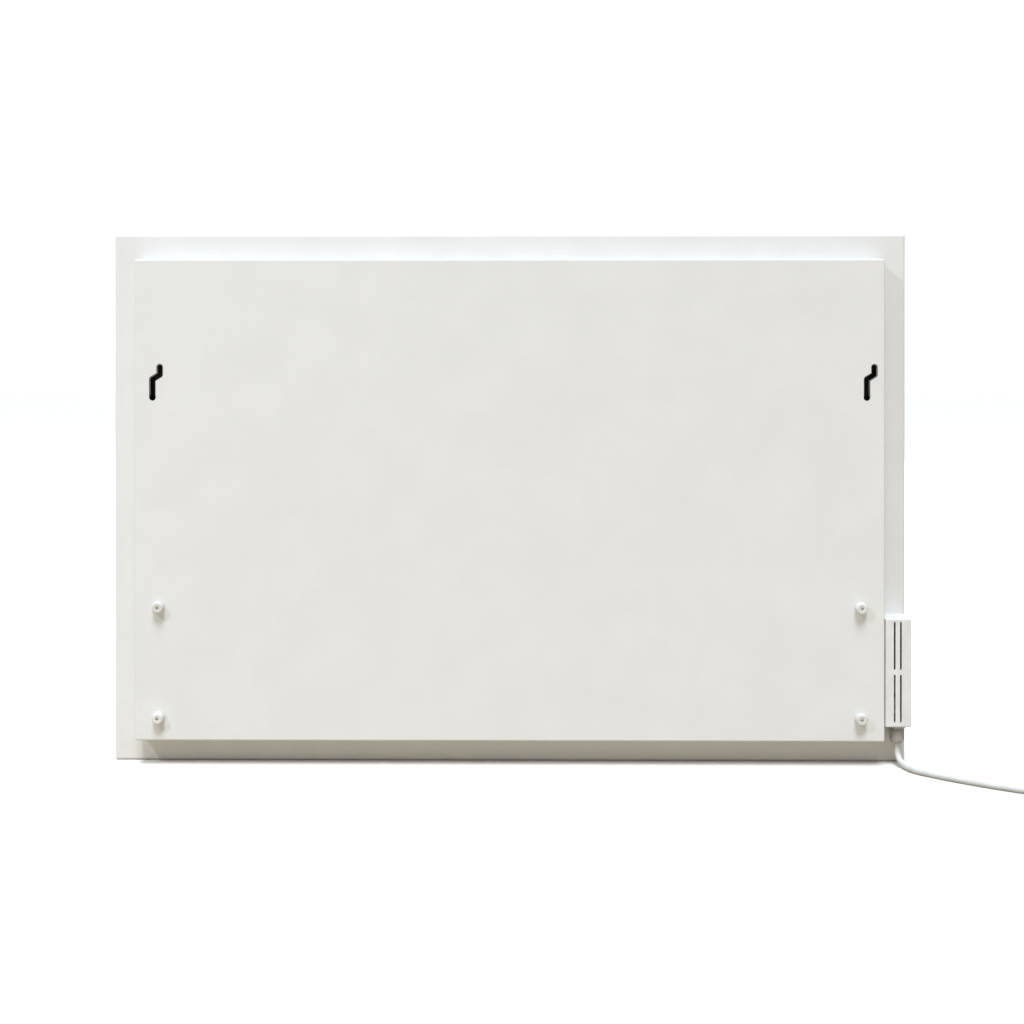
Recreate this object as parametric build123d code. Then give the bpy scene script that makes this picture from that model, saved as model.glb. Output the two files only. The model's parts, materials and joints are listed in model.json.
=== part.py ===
from build123d import *
import math
import os

# Infrared panel heater, 900 x 600 mm, seen from its wall side: a flat radiating panel with a
# shallow cover on its back, two S-shaped hanger slots, four wall bumpers and a narrow control box
# in the right margin, from which the mains lead drops to the floor.
#
# Millimetres. +X to the right as seen from the wall side, +Y from the wall into the room,
# +Z up. The heater stands on the lower edge of its front panel at Z = 0.

# --- clearances --------------------------------------------------------------------------------
TIGHT_FIT = 0.05  # round a rivet, a stud or a thread
SEAL_FIT = 0.1  # round what sits snug, such as a grommet or a lens
SLIP_FIT = 0.2
HOLE_PLAY = 0.3  # round a screw or a cord that passes freely
PAST = 1.0  # how far a cutter runs past the face it opens

# --- front panel: one steel sheet folded into a shallow tray, open towards the wall ----------
PANEL_WIDTH = 900.0
PANEL_HEIGHT = 600.0
PANEL_DEPTH = 10.0
PANEL_SHEET = 1.0
PANEL_BEND = 3.0  # outside radius of every fold
PANEL_RETURN = 38.0  # width of the return flange round the back

# --- rear cover: a folded steel box without a front ------------------------------------------
COVER_MARGIN = 30.0  # bare panel left all round the cover
COVER_DEPTH = 28.0
COVER_SHEET = 1.0
COVER_BEND = 1.8
HOOK_COUNT = 5
HOOK_WIDTH = 30.0
HOOK_PITCH = 150.0
HOOK_LAP = 5.0  # how far a hook reaches behind the panel's flange
HOOK_DROP = 4.0  # play below the flange, for lifting the cover on
HOOK_GAP = 0.3
COVER_STRIP = 40.0  # width of the cover's two side strips, which hold the slots
SLOT_FIELD_END = 12.0  # from a slot's ends to the end of the field round it

# --- hanger slots and what stands behind them -------------------------------------------------
SLOT_INSET = 20.0  # from the cover's edge to the lower round end
SLOT_FOOT_HEIGHT = 415.0  # centre of the lower round end
SLOT_WIDTH = 7.4
SLOT_LOWER_LEG = 20.4
SLOT_JOG = 8.2
SLOT_JOG_RISE = 5.1
SLOT_UPPER_LEG = 8.5
SEAT_WIDTH = 5.2  # the part of the plate's slot that a hanger's shank rides in
HANGER_PLATE = 2.0
HANGER_BORDER = 8.0
HANGER_BORDER_ENDS = 12.0
POCKET_WALL = 1.2
POCKET_DEPTH = 13.8
POCKET_SIDE = 2.0  # free space between slot and pocket wall
POCKET_GAP = 0.9  # from the pocket to the rail's web
POCKET_ENDS = 4.0

# --- side rails: C channels that carry the cover and the hangers ------------------------------
RAIL_SHEET = 1.2
RAIL_INSET = 45.0  # from the panel's lower and upper edge
RAIL_GAP = 1.0  # to the cover's side wall
RAIL_WINDOW = 3.0  # how much wider the rail's slot is than the cover's
RIVET_RADIUS = 1.95
RIVET_HEAD_RADIUS = 3.2
RIVET_TAIL_RADIUS = 2.9
RIVET_HEAD = 1.0
RIVET_TAIL = 2.0
RIVET_INSET = 3.0  # from the rail's outer edge
RIVET_COUNT = 4  # on each side
RIVET_END = 25.0  # from the rail's ends

# --- wall bumpers -----------------------------------------------------------------------------
BUMPER_RADIUS = 6.5
BUMPER_HEIGHT = 8.0
BUMPER_ROUND = 1.2
BUMPER_INSET = 27.0  # from the cover's edge
BUMPER_HEIGHTS = (56.0, 180.0)
BUMPER_SINK_DEPTH = 3.6
SCREW_RADIUS = 2.0
SCREW_HEAD_RADIUS = 3.2
SCREW_HEAD = 2.6
SCREW_LENGTH = 14.0
SCREW_HEAD_ROUND = 0.8
SCREW_CROSS = 3.4
SCREW_CROSS_WIDTH = 1.0
SCREW_CROSS_DEPTH = 1.4
CLINCH_NUT_RADIUS = 3.6
CLINCH_NUT = 3.8

# --- heating pack inside the panel ------------------------------------------------------------
FILM = 0.8
FILM_INSET = 10.0  # from the panel's outer edge
BUSBAR = 0.4
BUSBAR_WIDTH = 16.0
BUSBAR_INSET = 50.0  # from the panel's outer edge to the strip's middle
BUSBAR_SHORT = 10.0  # shorter than the film at each end
FOIL_GAP = 4.0  # bare film between foil and busbars
MAT_SIDE_GAP = 14.0  # channel for the leads beside each rail
MAT_INSET = 48.0  # from the panel's lower and upper edge
MAT_BACK_GAP = 2.0
CUTOUT_WIDTH = 20.0
CUTOUT_HEIGHT = 16.0
CUTOUT_DEPTH = 5.5
CUTOUT_ROOM = 4.0
CUTOUT_CHAMFER = 1.0
LUG_WIDTH = 5.0
LUG_HEIGHT = 12.0
LUG_DEPTH = 5.3

# --- internal leads ---------------------------------------------------------------------------
LEAD_RADIUS = 1.4
LEAD_BEND = 5.0
SHORT_BEND = 0.8  # of the run from the insulation's edge to the lead
LEAD_PITCH = 4.0
LEAD_DROP = 65.0  # below the control box's top
LEAD_PORT = (6.0, 11.0)  # live and neutral, beside the insulation
GROMMET_BORE = 6.3
GROMMET_GROOVE = 7.9
GROMMET_RADIUS = 9.2
GROMMET_LIP = 1.5
GROMMET_NOSE = 4.0
WEB_PORT = 5.6
EARTH_RISE = 30.0  # above the other leads
EARTH_STUD_RADIUS = 2.0
EARTH_STUD_LENGTH = 11.0
EARTH_TAG = 1.0
EARTH_TAG_RADIUS = 4.0
EARTH_NUT = 3.2
EARTH_NUT_FLATS = 7.0
EARTH_CRIMP_LENGTH = 5.0
EARTH_CRIMP_DROP = 8.0
EARTH_CRIMP_RADIUS = 1.7

# --- control box ------------------------------------------------------------------------------
BOX_GAP = 1.0  # between cover and box
BOX_FOOT = 46.3
BOX_HEIGHT = 121.5
BOX_WALL = 1.8
BOX_ROUND = 1.5
VENT_WIDTH = 2.0
VENT_TOP = 3.5
VENT_FOOT = 5.1
VENT_BRIDGE = 5.2
VENT_COLUMNS = (10.1, 17.0)  # from the box's inner edge
BASE_PLATE = 2.0
BASE_FIT = 0.3
CLIP_WIDTH = 4.5
CLIP_THICKNESS = 1.2
CLIP_REACH = 6.0
CLIP_NIB = 0.7
CLIP_NIB_LENGTH = 1.5
BOX_SCREW_RADIUS = 1.5
BOX_SCREW_HEAD_RADIUS = 2.8
BOX_SCREW_HEAD = 2.0
BOX_SCREW_ROUND = 0.6
BOX_SCREW_LENGTH = 7.0
BOX_SCREW_RISE = 21.0
BOX_SCREW_DROP = 9.0

# --- control strip in the box's outer side ----------------------------------------------------
STRIP_THICKNESS = 1.5
STRIP_OPENING_WIDTH = 20.0
STRIP_OPENING_ROUND = 2.0
STRIP_OPENING_END = 12.0  # from the box's foot and top
STRIP_LAP = 1.5
STRIP_EDGE_GAP = 0.6
CONTROL_FIT = 0.3
BUTTON_GAPS = {"up": 6.8, "mode": 2.8, "down": 2.8}  # above each button; they share the room
LENS_GAP = 4.4  # below the last button
BUTTON_RADIUS = 3.6
BUTTON_PROUD = 1.2
BUTTON_ROUND = 0.6
BUTTON_TRAVEL = 0.8
BUTTON_FLANGE_RADIUS = 4.6
BUTTON_FLANGE = 1.0
BUTTON_STEM_RADIUS = 1.5
SWITCH_SIDE = 6.0
SWITCH_HEIGHT = 3.5
SWITCH_FLOOR = 0.3
PLUNGER_RADIUS = 1.7
PLUNGER_PROUD = 1.2
LENS_RISE = 35.5  # above the box's foot
LENS_WIDTH = 3.0
LENS_HEIGHT = 8.0
LENS_PROUD = 0.4
LENS_LENGTH = 7.0
LENS_FLANGE = 1.0
LED_SIDE = 1.6
LED_HEIGHT = 1.8
LED_PITCH = 2.6

# --- rocker switch ----------------------------------------------------------------------------
ROCKER_DROP = 27.0
ROCKER_BEZEL_WIDTH = 15.0
ROCKER_BEZEL_HEIGHT = 21.0
ROCKER_BEZEL = 1.2
ROCKER_BEZEL_ROUND = 1.5
ROCKER_BODY_WIDTH = 13.0
ROCKER_BODY_HEIGHT = 19.2
ROCKER_BODY_DEPTH = 14.0
ROCKER_WELL_WIDTH = 10.6
ROCKER_WELL_HEIGHT = 17.6
ROCKER_WELL_DEPTH = 8.4
ROCKER_WIDTH = 10.0
ROCKER_HEIGHT = 16.0
ROCKER_PIVOT_DEPTH = 4.0  # below the bezel's face
ROCKER_MIDDLE = 2.6  # paddle above the pivot, in the middle
ROCKER_TIP = 3.4  # paddle above the pivot, at its ends
ROCKER_TIP_UNDER = 1.0
ROCKER_DRUM = 3.9
ROCKER_TILT = 7.0
ROCKER_PIN_RADIUS = 1.0
ROCKER_PIN_FIT = 0.05
ROCKER_PIN_REACH = 0.9
BLADE_WIDTH = 6.3
BLADE_THICKNESS = 0.8
BLADE_LENGTH = 7.0
BLADE_PITCH = 10.0

# --- circuit board ----------------------------------------------------------------------------
BOARD = 1.6
BOARD_STANDOFF = 9.1  # from the control strip
BOARD_ROCKER_GAP = 4.4
BOARD_CORE_GAP = 5.5  # above the lead's cores
BOARD_CLEAR = 1.2  # from the vented wall
GUIDE_HEIGHT = 4.0
GUIDE_WALL = 1.4
RELAY = (10.0, 16.0, 14.0)
RELAY_DROP = 48.0
RELAY_ROUND = 0.8
CAPACITOR = (4.0, 13.0, 16.0)
CAPACITOR_RISE = 5.5  # above the terminal block
CAPACITOR_ROUND = 1.0
TERMINAL_CORD_GAP = 0.5
TERMINAL_DEPTH = 18.0
TERMINAL_RISE = 13.0
TERMINAL_HEIGHT = 18.0
TERMINAL_GAP = 1.2
TERMINAL_SCREW_RADIUS = 1.3
TERMINAL_SCREW_DEPTH = 3.0

# --- cable gland and mains lead ---------------------------------------------------------------
CORD_RADIUS = 3.5
CORD_FIT = 0.05
GLAND_DEPTH = 14.0  # from the panel's back to the gland's axis
GLAND_INSET = 13.0  # from the box's outer side to the gland's axis
GLAND_THREAD_RADIUS = 6.0
GLAND_THREAD = 10.0
GLAND_FLATS = 16.6
GLAND_HEX = 4.0
GLAND_NECK_RADIUS = 6.0
GLAND_NECK = 9.4
GLAND_NECK_WALL = 1.0
GLAND_SEAL_REACH = 2.5  # seal below the neck
GLAND_NUT_RADIUS = 8.1
GLAND_NUT_WALL = 1.8
GLAND_NUT = 15.6
GLAND_NUT_GAP = 0.7
GLAND_NUT_DOME = 6.0
GLAND_NUT_MOUTH = 4.3
GLAND_NUT_LIP = 0.9
GLAND_NUT_RIBS = 12
GLAND_RIB_RADIUS = 0.7
GLAND_RIB_OUT = 0.2  # from the nut's side to the middle of a groove
GLAND_RIB_START = 1.5
GLAND_LOCKNUT = 4.0
JACKET_RISE = 15.0
CORE_RADIUS = 1.0
CORE_PITCH = 2.1
CORE_RISE = 7.0
CORE_BEND = 1.8

# The lead's route over the floor, from the gland to the coil. Chosen by hand along the lead in
# the photograph, then on past its edge to the coil.
CORD_ROUTE = (
    (437.0, -1.0, 26.0),
    (437.0, -1.0, 18.4),
    (437.6, -3.4, 11.4),
    (439.2, -8.6, 6.0),
    (441.8, -16.6, 3.5),
    (445.2, -26.5, 3.5),
    (451.5, -36.5, 3.5),
    (461.5, -45.2, 3.5),
    (477.5, -58.6, 3.5),
    (497.0, -72.6, 3.5),
    (519.0, -87.5, 3.5),
    (543.0, -101.5, 3.5),
    (567.5, -111.3, 3.5),
    (590.0, -116.8, 3.5),
    (609.0, -118.5, 3.5),
)
TAIL_ROUTE = (
    (671.5, -60.0, 10.5),
    (671.8, -48.0, 11.6),
    (672.8, -36.0, 15.2),
    (674.0, -25.0, 18.2),
)
COIL_CENTRE = (625.0, -72.0)
COIL_TURN = 79.0  # across the middle of the turns
COIL_RINGS = 3
COIL_LAYERS = 2
COIL_ROUND = 2.8
TIE_WIDTH = 12.0
TIE = 0.6
TIE_PLAY = 0.2
TIE_ROUND = 1.2

# --- plug: moulded earthed plug with two round pins --------------------------------------------
PLUG_AXIS_X = 674.0
PLUG_FOOT_Y = -26.0
PLUG_RADIUS = 18.8
PLUG_GRIP_RADIUS = 13.6
PLUG_NECK_RADIUS = 6.4
PLUG_ENTRY_RADIUS = 4.5
PLUG_RELIEF = 26.0
PLUG_SHOULDER_RADIUS = 10.9
PLUG_SHOULDER = 1.5
PLUG_SWELL = 6.0
PLUG_GRIP = 22.0
PLUG_DISC = 17.0
PLUG_FLARE = 6.0
PLUG_EDGE = 1.2
PIN_RADIUS = 2.4
PIN_LENGTH = 19.0
PIN_SPACING = 19.0
PIN_ROOT = 6.0
PIN_ROOT_RADIUS = 1.9
PIN_ROUND = 1.2
EARTH_SOCKET_RADIUS = 2.6
EARTH_SOCKET_OFFSET = 10.0
EARTH_SOCKET_DEPTH = 14.0
CLIP_STRAP_WIDTH = 8.0
CLIP_STRAP = 0.6
CLIP_STRAP_LENGTH = 13.0

# --- places that follow from the sizes ---------------------------------------------------------
panel_x = PANEL_WIDTH / 2
front_y = (PANEL_DEPTH + COVER_DEPTH + BUMPER_HEIGHT) / 2
panel_back_y = front_y - PANEL_DEPTH
cover_back_y = panel_back_y - COVER_DEPTH
wall_y = cover_back_y - BUMPER_HEIGHT
tray_floor_y = front_y - PANEL_SHEET
cover_x = panel_x - COVER_MARGIN
cover_inner_y = cover_back_y + COVER_SHEET
flange_inner_y = panel_back_y + PANEL_SHEET
rail_x1 = cover_x - COVER_SHEET - RAIL_GAP
rail_height = PANEL_HEIGHT - 2 * RAIL_INSET
rail_flange_y = cover_inner_y + RAIL_SHEET
rail_foot_y = panel_back_y - RAIL_SHEET
rivet_x = rail_x1 - RIVET_INSET
bumper_x = cover_x - BUMPER_INSET
slot_feet = (SLOT_INSET - cover_x, cover_x - SLOT_INSET)
slot_side = SLOT_JOG + SLOT_WIDTH / 2 + POCKET_SIDE
rail_x0 = cover_x - SLOT_INSET - slot_side - POCKET_GAP - RAIL_SHEET
slot_path = (
    (0.0, 0.0),
    (0.0, SLOT_LOWER_LEG),
    (SLOT_JOG, SLOT_LOWER_LEG + SLOT_JOG_RISE),
    (SLOT_JOG, SLOT_LOWER_LEG + SLOT_JOG_RISE + SLOT_UPPER_LEG),
)
slot_reach = slot_path[-1][1]
hanger_y = rail_flange_y + HANGER_PLATE
film_back_y = tray_floor_y - FILM
pack_y = film_back_y - BUSBAR
mat_x = rail_x0 - MAT_SIDE_GAP
mat_back_y = cover_inner_y + MAT_BACK_GAP
cutout_z = PANEL_HEIGHT / 2
live_x, neutral_x = (mat_x + offset for offset in LEAD_PORT)
box_x0 = cover_x + BOX_GAP
box_x1 = panel_x
box_y = (cover_back_y + panel_back_y) / 2
box_top = BOX_FOOT + BOX_HEIGHT
base_y = panel_back_y - BASE_PLATE
strip_x1 = box_x1 - BOX_WALL
strip_x0 = strip_x1 - STRIP_THICKNESS
strip_z0, strip_z1 = BOX_FOOT + STRIP_OPENING_END, box_top - STRIP_OPENING_END
rocker_z = box_top - ROCKER_DROP
rocker_foot = rocker_z - ROCKER_BODY_HEIGHT / 2
lens_z = BOX_FOOT + LENS_RISE
button_room = rocker_foot - lens_z - LENS_HEIGHT / 2 - LENS_FLANGE
button_room -= 2 * BUTTON_FLANGE_RADIUS * len(BUTTON_GAPS)
gap_share = button_room / (sum(BUTTON_GAPS.values()) + LENS_GAP)
button_z, button_head = {}, rocker_foot
for button, gap in BUTTON_GAPS.items():
    button_z[button] = button_head - gap * gap_share - BUTTON_FLANGE_RADIUS
    button_head = button_z[button] - BUTTON_FLANGE_RADIUS
lead_z = box_top - LEAD_DROP
earth_z = lead_z + EARTH_RISE
board_x1 = strip_x0 - BOARD_STANDOFF
board_x0 = board_x1 - BOARD
jacket_end_z = BOX_FOOT + JACKET_RISE
board_z0 = jacket_end_z + CORE_RISE + CORE_RADIUS + BOARD_CORE_GAP
board_z1 = rocker_foot - BOARD_ROCKER_GAP
gland_x = box_x1 - GLAND_INSET
gland_y = panel_back_y - GLAND_DEPTH
seal_end_z = BOX_FOOT - GLAND_HEX - GLAND_NECK - GLAND_SEAL_REACH
nut_z0 = BOX_FOOT - GLAND_HEX - GLAND_NUT_GAP - GLAND_NUT
terminal_x0 = box_x0 + BOX_WALL + TERMINAL_GAP
terminal_x1 = gland_x - CORD_RADIUS - TERMINAL_CORD_GAP
terminal_z0 = BOX_FOOT + TERMINAL_RISE
terminal_top = terminal_z0 + TERMINAL_HEIGHT
capacitor_z = terminal_top + CAPACITOR_RISE + CAPACITOR[2] / 2
box_screw_z = (BOX_FOOT + BOX_SCREW_RISE, box_top - BOX_SCREW_DROP)
rivet_pitch = (rail_height - 2 * RIVET_END) / (RIVET_COUNT - 1)
rivet_z = [RAIL_INSET + RIVET_END + k * rivet_pitch for k in range(RIVET_COUNT)]
rocker_pivot_x = strip_x1 + ROCKER_BEZEL - ROCKER_PIVOT_DEPTH
plug_face_y = PLUG_FOOT_Y + PLUG_RELIEF + PLUG_GRIP + PLUG_DISC
coil_r0 = COIL_TURN / 2 - COIL_RINGS * CORD_RADIUS
coil_r1 = COIL_TURN / 2 + COIL_RINGS * CORD_RADIUS
coil_height = COIL_LAYERS * 2 * CORD_RADIUS


def block(x0, x1, y0, y1, z0, z1):
    """A box between its two corners; each pair of limits may come in either order."""
    middle = Pos((x0 + x1) / 2, (y0 + y1) / 2, (z0 + z1) / 2)
    return middle * Box(abs(x1 - x0), abs(y1 - y0), abs(z1 - z0))


def rod_x(radius, x0, x1, y, z):
    return Pos((x0 + x1) / 2, y, z) * Rot(0, 90, 0) * Cylinder(radius, abs(x1 - x0))


def rod_y(radius, y0, y1, x, z):
    return Pos(x, (y0 + y1) / 2, z) * Rot(90, 0, 0) * Cylinder(radius, abs(y1 - y0))


def rod_z(radius, z0, z1, x, y):
    return Pos(x, y, (z0 + z1) / 2) * Cylinder(radius, abs(z1 - z0))


def hexagon_z(flats, z0, z1, x, y):
    prism = extrude(RegularPolygon(flats / 2, 6, major_radius=False), z1 - z0)
    return Pos(x, y, z0) * prism


def slot_tool(foot_x, width, y0, y1, points=slot_path):
    """The S shape of a hanger slot as a cutter, from y0 to y1."""
    radius, tool = width / 2, None
    for dx, dz in points:
        end = rod_y(radius, y0, y1, foot_x + dx, SLOT_FOOT_HEIGHT + dz)
        tool = end if tool is None else tool + end
    for (xa, za), (xb, zb) in zip(points, points[1:]):
        middle = Pos(foot_x + (xa + xb) / 2, (y0 + y1) / 2, SLOT_FOOT_HEIGHT + (za + zb) / 2)
        turn = Rot(0, math.degrees(math.atan2(xb - xa, zb - za)), 0)
        tool += middle * turn * Box(width, abs(y1 - y0), math.dist((xa, za), (xb, zb)))
    return tool


def tube(points, radius, bend):
    """A round tube along straight runs joined by tangent arcs; bend is one radius or a list."""
    path = FilletPolyline(*points, radius=bend)
    start = Plane(origin=points[0], z_dir=Vector(*points[1]) - Vector(*points[0]))
    return sweep(start * Circle(radius), path=path), path.length


def arc_radii(points):
    """Each corner's arc as large as its two runs allow."""
    radii = []
    for a, b, c in zip(points, points[1:], points[2:]):
        before, after = Vector(*b) - Vector(*a), Vector(*c) - Vector(*b)
        half_turn = math.radians(before.get_angle(after)) / 2
        radii.append(0.45 * min(before.length, after.length) / math.tan(half_turn))
    return radii


# --- front panel and heating pack --------------------------------------------------------------
def front_panel():
    outside = block(-panel_x, panel_x, panel_back_y, front_y, 0, PANEL_HEIGHT)
    tray = fillet(outside.edges(), PANEL_BEND)
    s = PANEL_SHEET
    inside = block(-panel_x + s, panel_x - s, flange_inner_y, tray_floor_y, s, PANEL_HEIGHT - s)
    tray -= fillet(inside.edges(), PANEL_BEND - s)
    rim = panel_x - PANEL_RETURN
    tray -= block(-rim, rim, panel_back_y - PAST, tray_floor_y - PANEL_BEND, PANEL_RETURN,
                  PANEL_HEIGHT - PANEL_RETURN)
    for side in (-1, 1):
        for z in rivet_z:
            tray -= rod_y(RIVET_RADIUS + TIGHT_FIT, panel_back_y - PAST, flange_inner_y + PAST,
                          side * rivet_x, z)
    for z in box_screw_z:
        tray -= rod_y(BOX_SCREW_RADIUS + TIGHT_FIT, panel_back_y - PAST, flange_inner_y + PAST, gland_x, z)
    return tray


def heating_film():
    x = panel_x - FILM_INSET
    return block(-x, x, film_back_y, tray_floor_y, 2 * FILM_INSET, PANEL_HEIGHT - 2 * FILM_INSET)


def busbars():
    """Two copper strips; the lower one carries the lug for the lead from the cut-out."""
    x, half = panel_x - FILM_INSET - BUSBAR_SHORT, BUSBAR_WIDTH / 2
    low, high = BUSBAR_INSET, PANEL_HEIGHT - BUSBAR_INSET
    lower = block(-x, x, pack_y, film_back_y, low - half, low + half)
    upper = block(-x, x, pack_y, film_back_y, high - half, high + half)
    lug_x = live_x
    lug_top = low + half
    lower += block(lug_x - LUG_WIDTH / 2, lug_x + LUG_WIDTH / 2, pack_y - LUG_DEPTH, pack_y,
                   lug_top - LUG_HEIGHT, lug_top)
    return Compound(children=[lower, upper])


def reflector_foil():
    low = BUSBAR_INSET + BUSBAR_WIDTH / 2 + FOIL_GAP
    return block(-mat_x, mat_x, pack_y, film_back_y, low, PANEL_HEIGHT - low)


def insulation_mat():
    mat = block(-mat_x, mat_x, mat_back_y, pack_y, MAT_INSET, PANEL_HEIGHT - MAT_INSET)
    room = CUTOUT_HEIGHT / 2 + CUTOUT_ROOM
    return mat - block(mat_x - CUTOUT_WIDTH - CUTOUT_ROOM, mat_x + PAST,
                       pack_y - CUTOUT_DEPTH - CUTOUT_ROOM, pack_y,
                       cutout_z - room, cutout_z + room)


def thermal_cutout():
    half = CUTOUT_HEIGHT / 2
    case = block(mat_x - CUTOUT_WIDTH, mat_x, pack_y - CUTOUT_DEPTH, pack_y,
                 cutout_z - half, cutout_z + half)
    return chamfer(case.edges().filter_by(Axis.Y), CUTOUT_CHAMFER)


# --- rear cover, rails and hangers --------------------------------------------------------------
def rear_cover():
    z0, z1 = COVER_MARGIN, PANEL_HEIGHT - COVER_MARGIN
    s = COVER_SHEET
    shell = block(-cover_x, cover_x, cover_back_y, panel_back_y, z0, z1)
    shell = fillet(shell.edges().filter_by(Axis.Y) + shell.faces().sort_by(Axis.Y)[0].edges(),
                   COVER_BEND)
    hollow = block(-cover_x + s, cover_x - s, cover_inner_y, panel_back_y + PAST, z0 + s, z1 - s)
    bends = hollow.edges().filter_by(Axis.Y) + hollow.faces().sort_by(Axis.Y)[0].edges()
    shell -= fillet(bends, COVER_BEND - s)
    shell += cover_hooks(z1 - s)
    for x in slot_feet:
        shell -= slot_tool(x, SLOT_WIDTH, cover_back_y - PAST, cover_inner_y + PAST)
    for x in (-bumper_x, bumper_x):
        for z in BUMPER_HEIGHTS:
            shell -= rod_y(SCREW_RADIUS + HOLE_PLAY, cover_back_y - PAST, cover_inner_y + PAST, x, z)
    shell -= rod_x(GROMMET_GROOVE + SEAL_FIT, cover_x - s - PAST, cover_x + PAST, box_y, lead_z)
    return Compound(children=cover_fields(shell))


def cover_fields(shell):
    """The one sheet as a middle field and two side strips of three fields, which meet face to
    face: each slot then lies in a small field of its own."""
    inner = cover_x - COVER_STRIP
    y0, y1 = cover_back_y - PAST, front_y
    low = SLOT_FOOT_HEIGHT - SLOT_WIDTH / 2 - SLOT_FIELD_END
    high = SLOT_FOOT_HEIGHT + slot_reach + SLOT_WIDTH / 2 + SLOT_FIELD_END
    fields = [shell & block(-inner, inner, y0, y1, 0, PANEL_HEIGHT)]
    for side in (-1, 1):
        for z0, z1 in ((0, low), (low, high), (high, PANEL_HEIGHT)):
            fields.append(shell & block(side * inner, side * panel_x, y0, y1, z0, z1))
    return fields


def cover_hooks(wall_z):
    """Tongues folded from the upper wall, which lap behind the panel's upper flange."""
    s = COVER_SHEET
    flange_z = PANEL_HEIGHT - PANEL_RETURN
    riser_z = flange_z - HOOK_DROP - s
    lap_y = flange_inner_y + HOOK_GAP
    hooks = None
    for k in range(HOOK_COUNT):
        x = (k - (HOOK_COUNT - 1) / 2) * HOOK_PITCH
        x0, x1 = x - HOOK_WIDTH / 2, x + HOOK_WIDTH / 2
        hook = block(x0, x1, panel_back_y - s, panel_back_y, riser_z, wall_z)
        hook += block(x0, x1, panel_back_y - s, lap_y + s, riser_z, riser_z + s)
        hook += block(x0, x1, lap_y, lap_y + s, riser_z, flange_z + HOOK_LAP)
        hooks = hook if hooks is None else hooks + hook
    return hooks


def side_rail(side):
    """C channel, open outwards; the right one has the leads' port and the welded earth stud."""
    x0, x1 = side * rail_x0, side * rail_x1
    web = side * (rail_x0 + RAIL_SHEET)
    z0, z1 = RAIL_INSET, RAIL_INSET + rail_height
    rail = block(x0, x1, cover_inner_y, panel_back_y, z0, z1)
    folds = rail.edges().filter_by(Axis.Z).sort_by(Axis.X)
    rail = fillet(folds[:2] if side > 0 else folds[-2:], RAIL_SHEET)
    rail -= block(web, side * (rail_x1 + PAST), rail_flange_y, rail_foot_y, z0 - PAST, z1 + PAST)
    foot = slot_feet[0] if side < 0 else slot_feet[1]
    rail -= slot_tool(foot, SLOT_WIDTH + RAIL_WINDOW, cover_inner_y - PAST, rail_flange_y + PAST)
    for z in BUMPER_HEIGHTS:
        rail -= rod_y(SCREW_RADIUS + HOLE_PLAY, cover_inner_y - PAST, rail_flange_y + PAST,
                      side * bumper_x, z)
    for z in rivet_z:
        rail -= rod_y(RIVET_RADIUS + TIGHT_FIT, rail_foot_y - PAST, panel_back_y + PAST, side * rivet_x, z)
    if side > 0:
        port_y = box_y + LEAD_PITCH / 2
        rail -= rod_x(WEB_PORT, rail_x0 - PAST, rail_x0 + RAIL_SHEET + PAST, port_y, lead_z)
        rail += rod_x(EARTH_STUD_RADIUS, web, web + EARTH_STUD_LENGTH, lead_start(-1)[1], earth_z)
    return rail


def hanger_plate(foot_x):
    """Hardened plate behind a slot: full width at the foot, narrower where the shank rides."""
    x0 = foot_x - HANGER_BORDER
    x1 = foot_x + slot_side
    z0 = SLOT_FOOT_HEIGHT - HANGER_BORDER_ENDS
    z1 = SLOT_FOOT_HEIGHT + slot_reach + HANGER_BORDER_ENDS
    plate = block(x0, x1, rail_flange_y, hanger_y, z0, z1)
    plate -= slot_tool(foot_x, SEAT_WIDTH, rail_flange_y - PAST, hanger_y + PAST)
    return plate - rod_y(SLOT_WIDTH / 2, rail_flange_y - PAST, hanger_y + PAST, foot_x, SLOT_FOOT_HEIGHT)


def hanger_pocket(foot_x):
    """Cap behind the plate, so that a hanger's head never reaches the insulation."""
    w = POCKET_WALL
    x0 = foot_x - SLOT_WIDTH / 2 - POCKET_SIDE
    x1 = foot_x + slot_side
    z0 = SLOT_FOOT_HEIGHT - SLOT_WIDTH / 2 - POCKET_ENDS
    z1 = SLOT_FOOT_HEIGHT + slot_reach + SLOT_WIDTH / 2 + POCKET_ENDS
    cap = block(x0, x1, hanger_y, hanger_y + POCKET_DEPTH, z0, z1)
    cap = fillet(cap.edges().filter_by(Axis.Y), 2 * w)
    hollow = block(x0 + w, x1 - w, hanger_y - PAST, hanger_y + POCKET_DEPTH - w, z0 + w, z1 - w)
    return cap - fillet(hollow.edges().filter_by(Axis.Y), w)


def rail_rivets():
    rivets = []
    for side in (-1, 1):
        for z in rivet_z:
            x = side * rivet_x
            rivet = rod_y(RIVET_RADIUS, rail_foot_y, flange_inner_y, x, z)
            rivet += rod_y(RIVET_HEAD_RADIUS, rail_foot_y - RIVET_HEAD, rail_foot_y, x, z)
            rivet += rod_y(RIVET_TAIL_RADIUS, flange_inner_y, flange_inner_y + RIVET_TAIL, x, z)
            rivets.append(rivet)
    return Compound(children=rivets)


# --- wall bumpers --------------------------------------------------------------------------------
def bumper_places():
    sides = (("left", -bumper_x), ("right", bumper_x))
    levels = zip(("lower", "upper"), BUMPER_HEIGHTS)
    return [(f"{level}_{side}", x, z) for level, z in levels for side, x in sides]


def wall_bumper(x, z):
    puck = rod_y(BUMPER_RADIUS, wall_y, cover_back_y, x, z)
    puck = fillet(puck.faces().sort_by(Axis.Y)[0].edges(), BUMPER_ROUND)
    puck -= rod_y(SCREW_RADIUS + SLIP_FIT, wall_y - PAST, cover_back_y + PAST, x, z)
    return puck - rod_y(SCREW_HEAD_RADIUS + HOLE_PLAY, wall_y - PAST, wall_y + BUMPER_SINK_DEPTH, x, z)


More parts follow.
